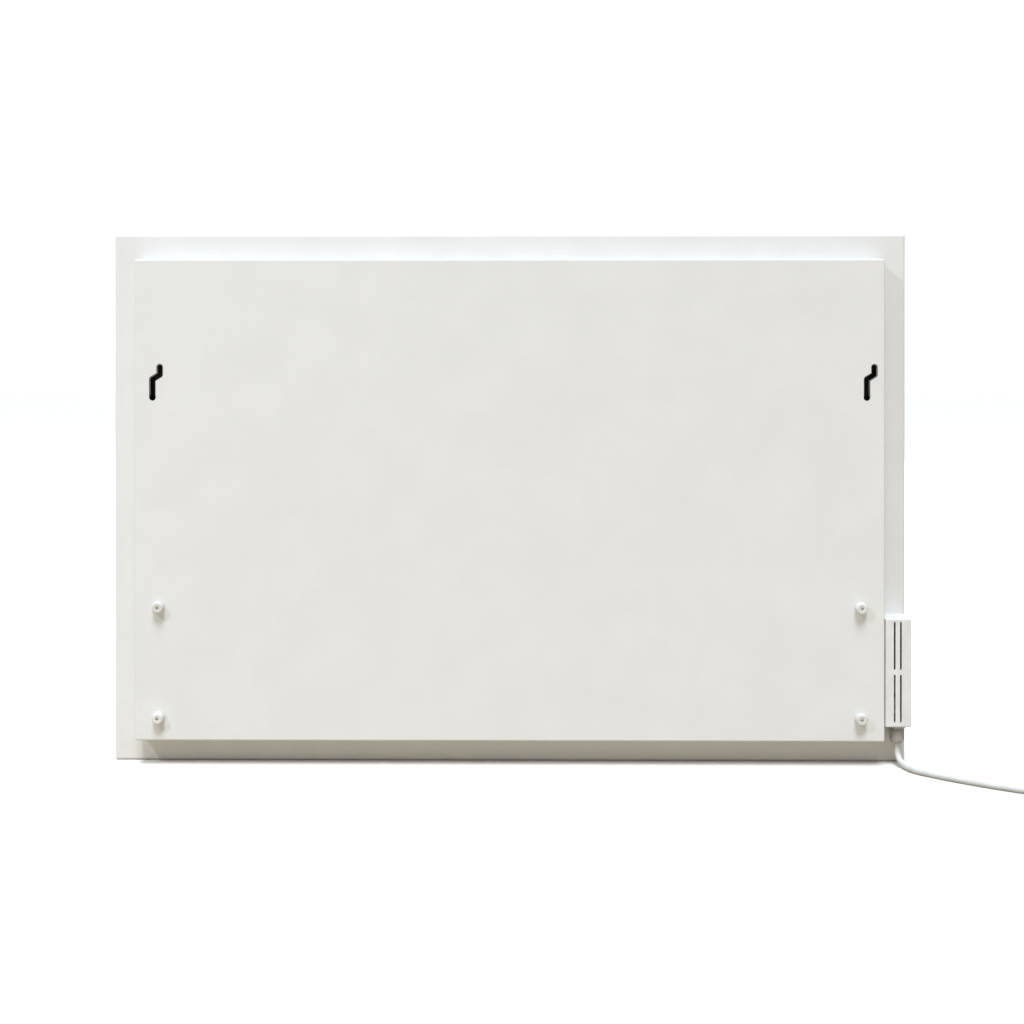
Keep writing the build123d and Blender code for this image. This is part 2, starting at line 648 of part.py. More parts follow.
def bumper_screws():
    screws = []
    seat = wall_y + BUMPER_SINK_DEPTH
    for _, x, z in bumper_places():
        head = rod_y(SCREW_HEAD_RADIUS, seat - SCREW_HEAD, seat, x, z)
        head = fillet(head.faces().sort_by(Axis.Y)[0].edges(), SCREW_HEAD_ROUND)
        arm, half = SCREW_CROSS / 2, SCREW_CROSS_WIDTH / 2
        floor = seat - SCREW_HEAD + SCREW_CROSS_DEPTH
        head -= block(x - arm, x + arm, seat - SCREW_HEAD - PAST, floor, z - half, z + half)
        head -= block(x - half, x + half, seat - SCREW_HEAD - PAST, floor, z - arm, z + arm)
        screws.append(head + rod_y(SCREW_RADIUS, seat, seat + SCREW_LENGTH, x, z))
    return Compound(children=screws)


def clinch_nuts():
    nuts = []
    for _, x, z in bumper_places():
        nut = rod_y(CLINCH_NUT_RADIUS, rail_flange_y, rail_flange_y + CLINCH_NUT, x, z)
        nuts.append(nut - rod_y(SCREW_RADIUS + TIGHT_FIT, cover_inner_y, hanger_y + CLINCH_NUT, x, z))
    return Compound(children=nuts)


# --- leads inside the cover ----------------------------------------------------------------------
def lead_start(k):
    """Where lead k (-1 earth, 0 live, 1 neutral) leaves the terminal block."""
    return ((terminal_x0 + terminal_x1) / 2, box_y + k * LEAD_PITCH, terminal_top)


def lead_live():
    x, y, z = lead_start(0)
    end_y, end_z = pack_y - CUTOUT_DEPTH / 2, cutout_z + CUTOUT_HEIGHT / 4
    port = live_x
    points = [(x, y, z), (x, y, lead_z), (port, y, lead_z), (port, y, end_z),
              (port, end_y, end_z), (mat_x, end_y, end_z)]
    short_bend = SHORT_BEND * (port - mat_x)
    bends = [LEAD_BEND, LEAD_BEND, min(LEAD_BEND, (end_y - y) / 2), short_bend]
    return tube(points, LEAD_RADIUS, bends)[0]


def lead_neutral():
    x, y, z = lead_start(1)
    port, end_z = neutral_x, PANEL_HEIGHT - BUSBAR_INSET
    points = [(x, y, z), (x, y, lead_z), (port, y, lead_z), (port, y, end_z),
              (port, pack_y, end_z)]
    return tube(points, LEAD_RADIUS, LEAD_BEND)[0]


def lead_cutout():
    port, y = live_x, pack_y - CUTOUT_DEPTH / 2
    z = cutout_z - CUTOUT_HEIGHT / 4
    lug_top = BUSBAR_INSET + BUSBAR_WIDTH / 2
    points = [(mat_x, y, z), (port, y, z), (port, y, lug_top)]
    return tube(points, LEAD_RADIUS, SHORT_BEND * (port - mat_x))[0]


def earth_places():
    web = rail_x0 + RAIL_SHEET
    crimp_x = web + EARTH_TAG + LEAD_RADIUS / 2
    crimp_top = earth_z - EARTH_CRIMP_DROP
    return web, crimp_x, crimp_top


def lead_earth():
    x, y, z = lead_start(-1)
    _, crimp_x, crimp_top = earth_places()
    points = [(x, y, z), (x, y, lead_z), (crimp_x, y, lead_z),
              (crimp_x, y, crimp_top - EARTH_CRIMP_LENGTH)]
    return tube(points, LEAD_RADIUS, LEAD_BEND)[0]


def earth_tag():
    web, crimp_x, crimp_top = earth_places()
    y = lead_start(-1)[1]
    tag = rod_x(EARTH_TAG_RADIUS, web, web + EARTH_TAG, y, earth_z)
    tag += block(web, web + EARTH_TAG, y - LEAD_RADIUS, y + LEAD_RADIUS,
                 crimp_top - EARTH_CRIMP_LENGTH, earth_z)
    tag += rod_z(EARTH_CRIMP_RADIUS, crimp_top - EARTH_CRIMP_LENGTH, crimp_top, crimp_x, y)
    return tag - rod_x(EARTH_STUD_RADIUS + TIGHT_FIT, web - PAST, web + EARTH_TAG + PAST, y, earth_z)


def earth_nut():
    web = earth_places()[0]
    x0, y = web + EARTH_TAG, lead_start(-1)[1]
    nut = Rot(0, 90, 0) * extrude(RegularPolygon(EARTH_NUT_FLATS / 2, 6, major_radius=False),
                                  EARTH_NUT)
    return Pos(x0, y, earth_z) * nut - rod_x(EARTH_STUD_RADIUS + TIGHT_FIT, x0 - PAST,
                                                 x0 + EARTH_NUT + PAST, y, earth_z)


def cable_grommet():
    """Rubber ring in the cover's side wall; its nose reaches through the box's wall."""
    x0, x1, y, z = cover_x - COVER_SHEET, cover_x, box_y, lead_z
    ring = rod_x(GROMMET_RADIUS, x0 - GROMMET_LIP, x0, y, z)
    ring += rod_x(GROMMET_GROOVE, x0, x1, y, z)
    ring += rod_x(GROMMET_RADIUS, x1, x1 + GROMMET_NOSE, y, z)
    return ring - rod_x(GROMMET_BORE, x0 - GROMMET_LIP - PAST, x1 + GROMMET_NOSE + PAST, y, z)


# --- control box ----------------------------------------------------------------------------------
def control_box_housing():
    w = BOX_WALL
    shell = block(box_x0, box_x1, cover_back_y, panel_back_y, BOX_FOOT, box_top)
    rounds = shell.edges().filter_by(Axis.Y) + shell.faces().sort_by(Axis.Y)[0].edges()
    shell = fillet(rounds, BOX_ROUND)
    shell -= block(box_x0 + w, box_x1 - w, cover_back_y + w, panel_back_y + PAST,
                   BOX_FOOT + w, box_top - w)
    shell -= vent_slots()
    width = STRIP_OPENING_WIDTH / 2
    opening = block(strip_x1 - PAST, box_x1 + PAST, box_y - width, box_y + width, strip_z0, strip_z1)
    shell -= fillet(opening.edges().filter_by(Axis.X), STRIP_OPENING_ROUND)
    shell -= rod_x(GROMMET_RADIUS + HOLE_PLAY, box_x0 - PAST, box_x0 + w + PAST, box_y, lead_z)
    shell -= rod_z(GLAND_THREAD_RADIUS + SLIP_FIT, BOX_FOOT - PAST, BOX_FOOT + w + PAST, gland_x, gland_y)
    x0, y0 = clip_corner()
    for wall, out in ((BOX_FOOT + w, -1), (box_top - w, 1)):
        shell -= block(x0 - HOLE_PLAY, x0 + CLIP_WIDTH + HOLE_PLAY,
                       y0 - HOLE_PLAY, y0 + CLIP_NIB_LENGTH + HOLE_PLAY,
                       wall - out, wall + out * (CLIP_NIB + SLIP_FIT))
    return shell


def vent_slots():
    """Two columns of two narrow slots with round ends, right through the back wall."""
    y0, y1, r = cover_back_y - PAST, cover_back_y + BOX_WALL + PAST, VENT_WIDTH / 2
    length = (BOX_HEIGHT - VENT_TOP - VENT_FOOT - VENT_BRIDGE) / 2
    tool = None
    for offset in VENT_COLUMNS:
        for row in range(2):
            x = box_x0 + offset
            top = box_top - VENT_TOP - row * (length + VENT_BRIDGE)
            foot = top - length
            cut = block(x - r, x + r, y0, y1, foot + r, top - r)
            cut += rod_y(r, y0, y1, x, foot + r) + rod_y(r, y0, y1, x, top - r)
            tool = cut if tool is None else tool + cut
    return tool


def clip_corner():
    return box_x0 + BOX_WALL + BASE_FIT, base_y - CLIP_REACH


def control_box_base():
    """Plate on the panel's margin, with two snap clips and the board's guides."""
    w = BOX_WALL + BASE_FIT
    z0, z1 = BOX_FOOT + w, box_top - w
    base = block(box_x0 + w, box_x1 - w, base_y, panel_back_y, z0, z1)
    x0, y0 = clip_corner()
    for wall, out in ((z0, -1), (z1, 1)):
        root = wall - out * CLIP_THICKNESS
        base += block(x0, x0 + CLIP_WIDTH, y0, base_y, root, wall)
        base += block(x0, x0 + CLIP_WIDTH, y0, y0 + CLIP_NIB_LENGTH, root, wall + out * CLIP_NIB)
    for edge, out in ((board_x0 - SEAL_FIT, -1), (board_x1 + SEAL_FIT, 1)):
        base += block(edge, edge + out * GUIDE_WALL, base_y - GUIDE_HEIGHT, base_y,
                      board_z0, board_z1)
    for z in box_screw_z:
        base -= rod_y(BOX_SCREW_RADIUS + SLIP_FIT, base_y - PAST, panel_back_y + PAST, gland_x, z)
    return base


def box_screws():
    screws = []
    for z in box_screw_z:
        screw = rod_y(BOX_SCREW_HEAD_RADIUS, base_y - BOX_SCREW_HEAD, base_y, gland_x, z)
        screw = fillet(screw.faces().sort_by(Axis.Y)[0].edges(), BOX_SCREW_ROUND)
        screws.append(screw + rod_y(BOX_SCREW_RADIUS, base_y, base_y + BOX_SCREW_LENGTH, gland_x, z))
    return Compound(children=screws)


def control_strip():
    """Plate behind the housing's side opening, which the switch and buttons look through."""
    plate = block(strip_x0, strip_x1, cover_back_y + BOX_WALL + STRIP_EDGE_GAP,
                  base_y - STRIP_EDGE_GAP, strip_z0 - STRIP_LAP, strip_z1 + STRIP_LAP)
    a, b = strip_x0 - PAST, strip_x1 + PAST
    for z in button_z.values():
        plate -= rod_x(BUTTON_RADIUS + CONTROL_FIT, a, b, box_y, z)
    y, z = ROCKER_BODY_WIDTH / 2 + SLIP_FIT, ROCKER_BODY_HEIGHT / 2 + SLIP_FIT
    plate -= block(a, b, box_y - y, box_y + y, rocker_z - z, rocker_z + z)
    y, z = LENS_WIDTH / 2 + SEAL_FIT, LENS_HEIGHT / 2 + SEAL_FIT
    return plate - block(a, b, box_y - y, box_y + y, lens_z - z, lens_z + z)


def indicator_lens():
    x1 = strip_x1 + LENS_PROUD
    y, z = LENS_WIDTH / 2, LENS_HEIGHT / 2
    lens = block(x1 - LENS_LENGTH, x1, box_y - y, box_y + y, lens_z - z, lens_z + z)
    f = LENS_FLANGE
    return lens + block(strip_x0 - f, strip_x0, box_y - y - f, box_y + y + f,
                        lens_z - z - f, lens_z + z + f)


def push_button(z):
    """Cap, retaining flange behind the strip and stem, in one moulding."""
    face = strip_x1 + BUTTON_PROUD
    back = strip_x0 - CONTROL_FIT
    cap = rod_x(BUTTON_RADIUS, back, face, box_y, z)
    cap = fillet(cap.faces().sort_by(Axis.X)[-1].edges(), BUTTON_ROUND)
    cap += rod_x(BUTTON_FLANGE_RADIUS, back - BUTTON_FLANGE, back, box_y, z)
    plunger_top = board_x1 + SWITCH_HEIGHT + PLUNGER_PROUD
    return cap + rod_x(BUTTON_STEM_RADIUS, plunger_top, back - BUTTON_FLANGE, box_y, z)


def switch_plunger(z):
    top = board_x1 + SWITCH_HEIGHT + PLUNGER_PROUD
    foot = board_x1 + SWITCH_FLOOR + BUTTON_TRAVEL + SLIP_FIT
    return rod_x(PLUNGER_RADIUS, foot, top, box_y, z)


def button_switches():
    """Three small push switches on the board, each with a bore for its plunger."""
    switches, half = [], SWITCH_SIDE / 2
    for z in button_z.values():
        case = block(board_x1, board_x1 + SWITCH_HEIGHT, box_y - half, box_y + half,
                     z - half, z + half)
        switches.append(case - rod_x(PLUNGER_RADIUS + CONTROL_FIT, board_x1 + SWITCH_FLOOR,
                                     board_x1 + SWITCH_HEIGHT + PAST, box_y, z))
    return Compound(children=switches)


def indicator_leds():
    half = LED_SIDE / 2
    return Compound(children=[
        block(board_x1, board_x1 + LED_HEIGHT, box_y - half, box_y + half,
              lens_z + k * LED_PITCH - half, lens_z + k * LED_PITCH + half)
        for k in (-1, 0, 1)])


def circuit_board():
    return block(board_x0, board_x1, cover_back_y + BOX_WALL + BOARD_CLEAR, base_y - BASE_FIT,
                 board_z0, board_z1)


def board_part(size, level, rounding):
    """A component on the board's inner face, centred across it."""
    dx, dy, dz = size
    case = block(board_x0 - dx, board_x0, box_y - dy / 2, box_y + dy / 2,
                 level - dz / 2, level + dz / 2)
    return fillet(case.edges().filter_by(Axis.X), rounding)


def terminal_block():
    case = block(terminal_x0, terminal_x1, base_y - TERMINAL_DEPTH, base_y,
                 terminal_z0, terminal_top)
    for k in (-1, 0, 1):
        y = box_y + k * LEAD_PITCH
        case -= rod_x(TERMINAL_SCREW_RADIUS, terminal_x0 - PAST, terminal_x0 + TERMINAL_SCREW_DEPTH,
                      y, terminal_z0 + TERMINAL_HEIGHT / 2)
    return case


# --- rocker switch ----------------------------------------------------------------------------------
def rocker_frame():
    """Bezel and body of the switch, with the well that the rocker tips in."""
    y, z = ROCKER_BEZEL_WIDTH / 2, ROCKER_BEZEL_HEIGHT / 2
    face = strip_x1 + ROCKER_BEZEL
    bezel = block(strip_x1, face, box_y - y, box_y + y, rocker_z - z, rocker_z + z)
    bezel = fillet(bezel.edges().filter_by(Axis.X), ROCKER_BEZEL_ROUND)
    y, z = ROCKER_BODY_WIDTH / 2, ROCKER_BODY_HEIGHT / 2
    bezel += block(strip_x1 - ROCKER_BODY_DEPTH, strip_x1, box_y - y, box_y + y,
                   rocker_z - z, rocker_z + z)
    y, z = ROCKER_WELL_WIDTH / 2, ROCKER_WELL_HEIGHT / 2
    bezel -= block(face - ROCKER_WELL_DEPTH, face + PAST, box_y - y, box_y + y,
                   rocker_z - z, rocker_z + z)
    reach = ROCKER_WIDTH / 2 + ROCKER_PIN_REACH + SLIP_FIT
    return bezel - rod_y(ROCKER_PIN_RADIUS + ROCKER_PIN_FIT, box_y - reach, box_y + reach,
                         rocker_pivot_x, rocker_z)


def power_rocker():
    """The paddle, tipped to its off position: lower end in, upper end out."""
    half = ROCKER_HEIGHT / 2
    side = Plane.XZ * make_face(Polyline(
        (-ROCKER_TIP_UNDER, -half), (ROCKER_TIP, -half), (ROCKER_MIDDLE, 0), (ROCKER_TIP, half),
        (-ROCKER_TIP_UNDER, half), (-ROCKER_DRUM, 0), close=True))
    paddle = Pos(0, ROCKER_WIDTH / 2, 0) * extrude(side, ROCKER_WIDTH)
    paddle &= Rot(90, 0, 0) * Cylinder(math.hypot(half, ROCKER_TIP), ROCKER_WIDTH)
    reach = ROCKER_WIDTH / 2 + ROCKER_PIN_REACH
    paddle += rod_y(ROCKER_PIN_RADIUS, -reach, reach, 0, 0)
    return Pos(rocker_pivot_x, box_y, rocker_z) * Rot(0, ROCKER_TILT, 0) * paddle


def rocker_blades():
    back = strip_x1 - ROCKER_BODY_DEPTH
    y, z = BLADE_WIDTH / 2, BLADE_THICKNESS / 2
    return Compound(children=[
        block(back - BLADE_LENGTH, back, box_y - y, box_y + y,
              rocker_z + k * BLADE_PITCH / 2 - z, rocker_z + k * BLADE_PITCH / 2 + z)
        for k in (-1, 1)])


# --- cable gland ---------------------------------------------------------------------------------------
def gland_body():
    z0 = BOX_FOOT - GLAND_HEX
    body = hexagon_z(GLAND_FLATS, z0, BOX_FOOT, gland_x, gland_y)
    body += rod_z(GLAND_THREAD_RADIUS, BOX_FOOT, BOX_FOOT + GLAND_THREAD, gland_x, gland_y)
    body += rod_z(GLAND_NECK_RADIUS, z0 - GLAND_NECK, z0, gland_x, gland_y)
    body -= rod_z(CORD_RADIUS + HOLE_PLAY, z0 - GLAND_NECK - PAST, BOX_FOOT + GLAND_THREAD + PAST,
                  gland_x, gland_y)
    return body - rod_z(GLAND_NECK_RADIUS - GLAND_NECK_WALL, z0 - GLAND_NECK - PAST, z0,
                        gland_x, gland_y)


def gland_seal():
    z0, z1 = seal_end_z, BOX_FOOT - GLAND_HEX - SLIP_FIT
    radius = GLAND_NECK_RADIUS - GLAND_NECK_WALL - SEAL_FIT
    return rod_z(radius, z0, z1, gland_x, gland_y) - rod_z(
        CORD_RADIUS + CORD_FIT, z0 - PAST, z1 + PAST, gland_x, gland_y)


def gland_nut():
    """Domed clamping nut with a ribbed grip."""
    z0, z1 = nut_z0, nut_z0 + GLAND_NUT
    nut = rod_z(GLAND_NUT_RADIUS, z0 + GLAND_NUT_DOME, z1, gland_x, gland_y)
    groove_ring = GLAND_NUT_RADIUS + GLAND_RIB_OUT
    for k in range(GLAND_NUT_RIBS):
        turn = 2 * math.pi * k / GLAND_NUT_RIBS
        nut -= rod_z(GLAND_RIB_RADIUS, z0 + GLAND_NUT_DOME + GLAND_RIB_START, z1 + PAST,
                     gland_x + groove_ring * math.cos(turn),
                     gland_y + groove_ring * math.sin(turn))
    dome = Cone(GLAND_NUT_MOUTH + GLAND_NUT_LIP, GLAND_NUT_RADIUS, GLAND_NUT_DOME)
    nut += Pos(gland_x, gland_y, z0 + GLAND_NUT_DOME / 2) * dome
    nut -= rod_z(GLAND_NUT_RADIUS - GLAND_NUT_WALL, seal_end_z, z1 + PAST, gland_x, gland_y)
    return nut - rod_z(GLAND_NUT_MOUTH, z0 - PAST, z1, gland_x, gland_y)


def gland_locknut():
    z0 = BOX_FOOT + BOX_WALL
    nut = hexagon_z(GLAND_FLATS, z0, z0 + GLAND_LOCKNUT, gland_x, gland_y)
    return nut - rod_z(GLAND_THREAD_RADIUS + TIGHT_FIT, z0 - PAST, z0 + GLAND_LOCKNUT + PAST,
                       gland_x, gland_y)


def cord_entry():
    """The stretch of the lead inside the gland and the box, up to where its jacket ends."""
    return rod_z(CORD_RADIUS, nut_z0, jacket_end_z, gland_x, gland_y)


def cord_cores():
    cores = []
    for k in (-1, 0, 1):
        y = gland_y + k * CORE_PITCH
        points = [(gland_x, y, jacket_end_z), (gland_x, y, jacket_end_z + CORE_RISE),
                  (terminal_x1, y, jacket_end_z + CORE_RISE)]
        cores.append(tube(points, CORE_RADIUS, CORE_BEND)[0])
    return Compound(children=cores)


# --- mains lead, coil and plug ---------------------------------------------------------------------------
def free_cord(name, route):
    radii = arc_radii(route)
    solid, length = tube(route, CORD_RADIUS, radii)
    ratio = solid.volume / (math.pi * CORD_RADIUS**2 * length)
    print(f"{name}: {length:.1f} mm, volume over section x length {ratio:.4f}, radii in diameters",
          " ".join(f"{r / CORD_RADIUS / 2:.1f}" for r in radii))
    return solid


def coil_ring(inner, outer, z0, z1):
    x, y = COIL_CENTRE
    return rod_z(outer, z0, z1, x, y) - rod_z(inner, z0 - PAST, z1 + PAST, x, y)


def tie_box(radial, z0, z1):
    """A box across the coil's left-hand side, radial wider than the turns and their curve."""
    x, y = COIL_CENTRE
    half = TIE_WIDTH / 2
    inner = math.sqrt(coil_r0**2 - half**2)
    return block(x - coil_r1 - radial, x - inner + radial, y - half, y + half, z0, z1)


def cord_coil():
    ring = coil_ring(coil_r0, coil_r1, 0, coil_height)
    ring = fillet(ring.edges(), COIL_ROUND)
    return ring - tie_box(TIE + TIE_PLAY, -1, TIE)


def cord_tie():
    band = tie_box(TIE + TIE_PLAY, 0, coil_height + TIE)
    band = fillet(band.edges().filter_by(Axis.Y), TIE_ROUND + TIE)
    inside = tie_box(TIE_PLAY, TIE, coil_height)
    return band - fillet(inside.edges().filter_by(Axis.Y), TIE_ROUND)


def plug_body():
    """A body of revolution from the strain relief to the round face, with earth clip recesses."""
    y0, y1 = 0.0, PLUG_RELIEF
    y2, y3 = PLUG_RELIEF + PLUG_GRIP, PLUG_RELIEF + PLUG_GRIP + PLUG_DISC
    profile = Plane.XY * make_face(Polyline(
        (0, y0), (PLUG_ENTRY_RADIUS, y0), (PLUG_NECK_RADIUS, y1), (PLUG_SHOULDER_RADIUS, y1 + PLUG_SHOULDER),
        (PLUG_GRIP_RADIUS, y1 + PLUG_SWELL), (PLUG_GRIP_RADIUS, y2 - PLUG_FLARE), (PLUG_RADIUS, y2),
        (PLUG_RADIUS, y3 - PLUG_EDGE), (PLUG_RADIUS - PLUG_EDGE, y3), (0, y3), close=True))
    body = Pos(PLUG_AXIS_X, PLUG_FOOT_Y, PLUG_RADIUS) * revolve(profile, Axis.Y)
    recess, half = 2 * CLIP_STRAP, CLIP_STRAP_WIDTH / 2 + HOLE_PLAY
    for z0, z1 in ((-PAST, recess), (2 * PLUG_RADIUS - recess, 2 * PLUG_RADIUS + PAST)):
        body -= block(PLUG_AXIS_X - half, PLUG_AXIS_X + half, plug_face_y - CLIP_STRAP_LENGTH - HOLE_PLAY,
                      plug_face_y + PAST, z0, z1)
    for k in (-1, 1):
        body -= rod_y(PIN_ROOT_RADIUS, plug_face_y - PIN_ROOT, plug_face_y + PAST,
                      PLUG_AXIS_X + k * PIN_SPACING / 2, PLUG_RADIUS)
    return body - rod_y(EARTH_SOCKET_RADIUS, plug_face_y - EARTH_SOCKET_DEPTH, plug_face_y + PAST,
                        PLUG_AXIS_X, PLUG_RADIUS + EARTH_SOCKET_OFFSET)


def plug_pins():
    pins = []
    for k in (-1, 1):
        x = PLUG_AXIS_X + k * PIN_SPACING / 2
        pin = rod_y(PIN_RADIUS, plug_face_y, plug_face_y + PIN_LENGTH, x, PLUG_RADIUS)
        pin = fillet(pin.faces().sort_by(Axis.Y)[-1].edges(), PIN_ROUND)
        pins.append(pin + rod_y(PIN_ROOT_RADIUS, plug_face_y - PIN_ROOT, plug_face_y, x, PLUG_RADIUS))
    return Compound(children=pins)


def plug_earth_clips():
    half, s = CLIP_STRAP_WIDTH / 2, CLIP_STRAP
    y0, y1 = plug_face_y - CLIP_STRAP_LENGTH, plug_face_y
    return Compound(children=[
        block(PLUG_AXIS_X - half, PLUG_AXIS_X + half, y0, y1, z0, z0 + s)
        for z0 in (s, 2 * PLUG_RADIUS - 2 * s)])


def all_parts():
    parts = {
        "front_panel": front_panel(),
        "heating_film": heating_film(),
        "busbars": busbars(),
        "reflector_foil": reflector_foil(),
        "insulation_mat": insulation_mat(),
        "thermal_cutout": thermal_cutout(),
        "rear_cover": rear_cover(),
        "rail_rivets": rail_rivets(),
        "bumper_screws": bumper_screws(),
        "clinch_nuts": clinch_nuts(),
        "lead_live": lead_live(),
        "lead_neutral": lead_neutral(),
        "lead_cutout": lead_cutout(),
        "lead_earth": lead_earth(),
        "earth_tag": earth_tag(),
        "earth_nut": earth_nut(),
        "cable_grommet": cable_grommet(),
        "control_box_housing": control_box_housing(),
        "control_box_base": control_box_base(),
        "box_screws": box_screws(),
        "control_strip": control_strip(),
        "indicator_lens": indicator_lens(),
        "indicator_leds": indicator_leds(),
        "circuit_board": circuit_board(),
        "button_switches": button_switches(),
        "relay": board_part(RELAY, box_top - RELAY_DROP, RELAY_ROUND),
        "filter_capacitor": board_part(CAPACITOR, capacitor_z, CAPACITOR_ROUND),
        "terminal_block": terminal_block(),
        "rocker_frame": rocker_frame(),
        "power_rocker": power_rocker(),
        "rocker_blades": rocker_blades(),
        "gland_body": gland_body(),
        "gland_seal": gland_seal(),
        "gland_nut": gland_nut(),
        "gland_locknut": gland_locknut(),
        "cord_entry": cord_entry(),
        "cord_cores": cord_cores(),
        "power_cord": free_cord("power_cord", CORD_ROUTE),
        "cord_tail": free_cord("cord_tail", TAIL_ROUTE),
        "cord_coil": cord_coil(),
        "cord_tie": cord_tie(),
        "plug_body": plug_body(),
        "plug_pins": plug_pins(),
        "plug_earth_clips": plug_earth_clips(),
    }
    for name, side, foot_x in (("left", -1, slot_feet[0]), ("right", 1, slot_feet[1])):
        parts[f"{name}_rail"] = side_rail(side)
        parts[f"{name}_hanger_plate"] = hanger_plate(foot_x)
        parts[f"{name}_hanger_pocket"] = hanger_pocket(foot_x)
    for place, x, z in bumper_places():
        parts[f"wall_bumper_{place}"] = wall_bumper(x, z)
    for name, z in button_z.items():
        parts[f"button_{name}"] = push_button(z)
        parts[f"switch_plunger_{name}"] = switch_plunger(z)
    return parts


def main():
    os.makedirs("parts", exist_ok=True)
    for node, shape in all_parts().items():
        export_step(shape, f"parts/{node}.step")


main()
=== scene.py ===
import json
import math

import bmesh
import bpy
from bpy.props import FloatProperty, FloatVectorProperty, IntProperty, PointerProperty
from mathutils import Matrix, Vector


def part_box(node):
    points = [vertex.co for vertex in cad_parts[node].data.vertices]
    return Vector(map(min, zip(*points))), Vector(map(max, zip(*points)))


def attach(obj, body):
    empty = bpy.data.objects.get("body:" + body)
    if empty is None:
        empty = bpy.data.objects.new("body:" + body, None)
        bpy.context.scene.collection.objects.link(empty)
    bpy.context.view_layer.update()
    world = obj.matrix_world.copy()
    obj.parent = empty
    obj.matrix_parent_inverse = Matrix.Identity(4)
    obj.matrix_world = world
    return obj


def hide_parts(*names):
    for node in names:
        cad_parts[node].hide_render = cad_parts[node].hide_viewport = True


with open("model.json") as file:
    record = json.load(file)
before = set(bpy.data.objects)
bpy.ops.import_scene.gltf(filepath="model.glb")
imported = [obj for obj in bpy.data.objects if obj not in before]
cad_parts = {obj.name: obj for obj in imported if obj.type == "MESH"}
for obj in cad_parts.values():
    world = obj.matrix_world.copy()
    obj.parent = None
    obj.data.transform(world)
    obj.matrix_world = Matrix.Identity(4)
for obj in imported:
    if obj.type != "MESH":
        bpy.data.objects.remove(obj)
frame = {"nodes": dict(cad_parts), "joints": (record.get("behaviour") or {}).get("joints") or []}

bl_info = {
    "name": "Infrared Panel Heater",
    "version": (1, 0, 0),
    "blender": (4, 5, 0),
    "location": "3D View > Sidebar > Heater",
    "description": "Dresses a steel infrared panel heater, seen from its wall side",
    "category": "Object",
}

MM = 0.001
WELD = 1e-6  # vertices closer than this, in metres, are one
SHARP_EDGE = math.radians(50)  # edges that turn more than this are rounded
AXES = {"X": Vector((1, 0, 0)), "Y": Vector((0, 1, 0)), "Z": Vector((0, 0, 1))}
FACING = {"X": (0, math.pi / 2, 0), "Y": (math.pi / 2, 0, 0), "Z": (0, 0, 0)}
NODES = frame["nodes"]
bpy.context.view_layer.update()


# --- modelling by operators ----------------------------------------------------------------------
def start_fresh():
    if bpy.context.mode != "OBJECT":
        bpy.ops.object.mode_set(mode="OBJECT")
    bpy.ops.object.select_all(action="DESELECT")


def pick(obj):
    start_fresh()
    obj.select_set(True)
    bpy.context.view_layer.objects.active = obj


def begin(name):
    """Takes the primitive just added as a piece's start: places it in its mesh and opens it."""
    obj = bpy.context.object
    obj.name = obj.data.name = name
    bpy.ops.object.transform_apply(location=True, rotation=True, scale=True)
    bpy.ops.object.mode_set(mode="EDIT")
    return obj


def close(obj):
    """Merges doubles, turns all faces outwards and leaves edit mode."""
    bpy.ops.mesh.select_mode(type="VERT")
    bpy.ops.mesh.select_all(action="SELECT")
    bpy.ops.mesh.remove_doubles(threshold=WELD)
    bpy.ops.mesh.normals_make_consistent(inside=False)
    bpy.ops.object.mode_set(mode="OBJECT")
    return obj


def reopen(obj):
    pick(obj)
    bpy.ops.object.mode_set(mode="EDIT")


def choose(obj, test, kind="FACE"):
    """Selects the open piece's faces, edges or vertices that pass the test."""
    bpy.ops.mesh.select_mode(type=kind)
    bpy.ops.mesh.select_all(action="DESELECT")
    mesh = bmesh.from_edit_mesh(obj.data)
    for part in {"FACE": mesh.faces, "EDGE": mesh.edges, "VERT": mesh.verts}[kind]:
        part.select_set(bool(test(part)))
    mesh.select_flush_mode()
    bmesh.update_edit_mesh(obj.data)


def modify(obj, kind, **settings):
    pick(obj)
    bpy.ops.object.modifier_add(type=kind)
    modifier = obj.modifiers[-1]
    for name, value in settings.items():
        setattr(modifier, name, value)
    bpy.ops.object.modifier_apply(modifier=modifier.name)


def soften(obj, width, segments=2):
    """Rounds a piece's sharp edges."""
    modify(obj, "BEVEL", width=width, segments=segments, limit_method="ANGLE",
           angle_limit=SHARP_EDGE, use_clamp_overlap=True)
    smooth(obj)


def smooth(obj, angle=35):
    pick(obj)
    bpy.ops.object.shade_smooth_by_angle(angle=math.radians(angle))


def carve(obj, cutter):
    """Cuts one piece out of another and deletes the cutter."""
    modify(obj, "BOOLEAN", operation="DIFFERENCE", object=cutter, solver="EXACT")
    start_fresh()
    cutter.select_set(True)
    bpy.ops.object.delete()


def lathe(name, centre, axis, stations, sides=64, ring=False):
    """Turns an outline of (place, radius) stations round an axis, by extruding a circle."""
    along = AXES[axis]
    middle = Vector(centre) * MM
    (at, radius), *rest = [(a * MM, r * MM) for a, r in stations]
    start_fresh()
    bpy.ops.mesh.primitive_circle_add(vertices=sides, radius=radius, rotation=FACING[axis],
                                      location=middle + along * at,
                                      fill_type="NOTHING" if ring else "NGON")
    obj = begin(name)
    bpy.ops.mesh.select_all(action="SELECT")
    for new_at, new_radius in rest:
        step = {"value": along * (new_at - at)}
        if ring:
            bpy.ops.mesh.extrude_edges_move(TRANSFORM_OT_translate=step)
        else:
            bpy.ops.mesh.extrude_region_move(TRANSFORM_OT_translate=step)
        k = new_radius / radius
        if not math.isclose(k, 1):
            bpy.ops.transform.resize(value=(k, k, k), center_override=middle + along * new_at)
        at, radius = new_at, new_radius
    return close(obj)


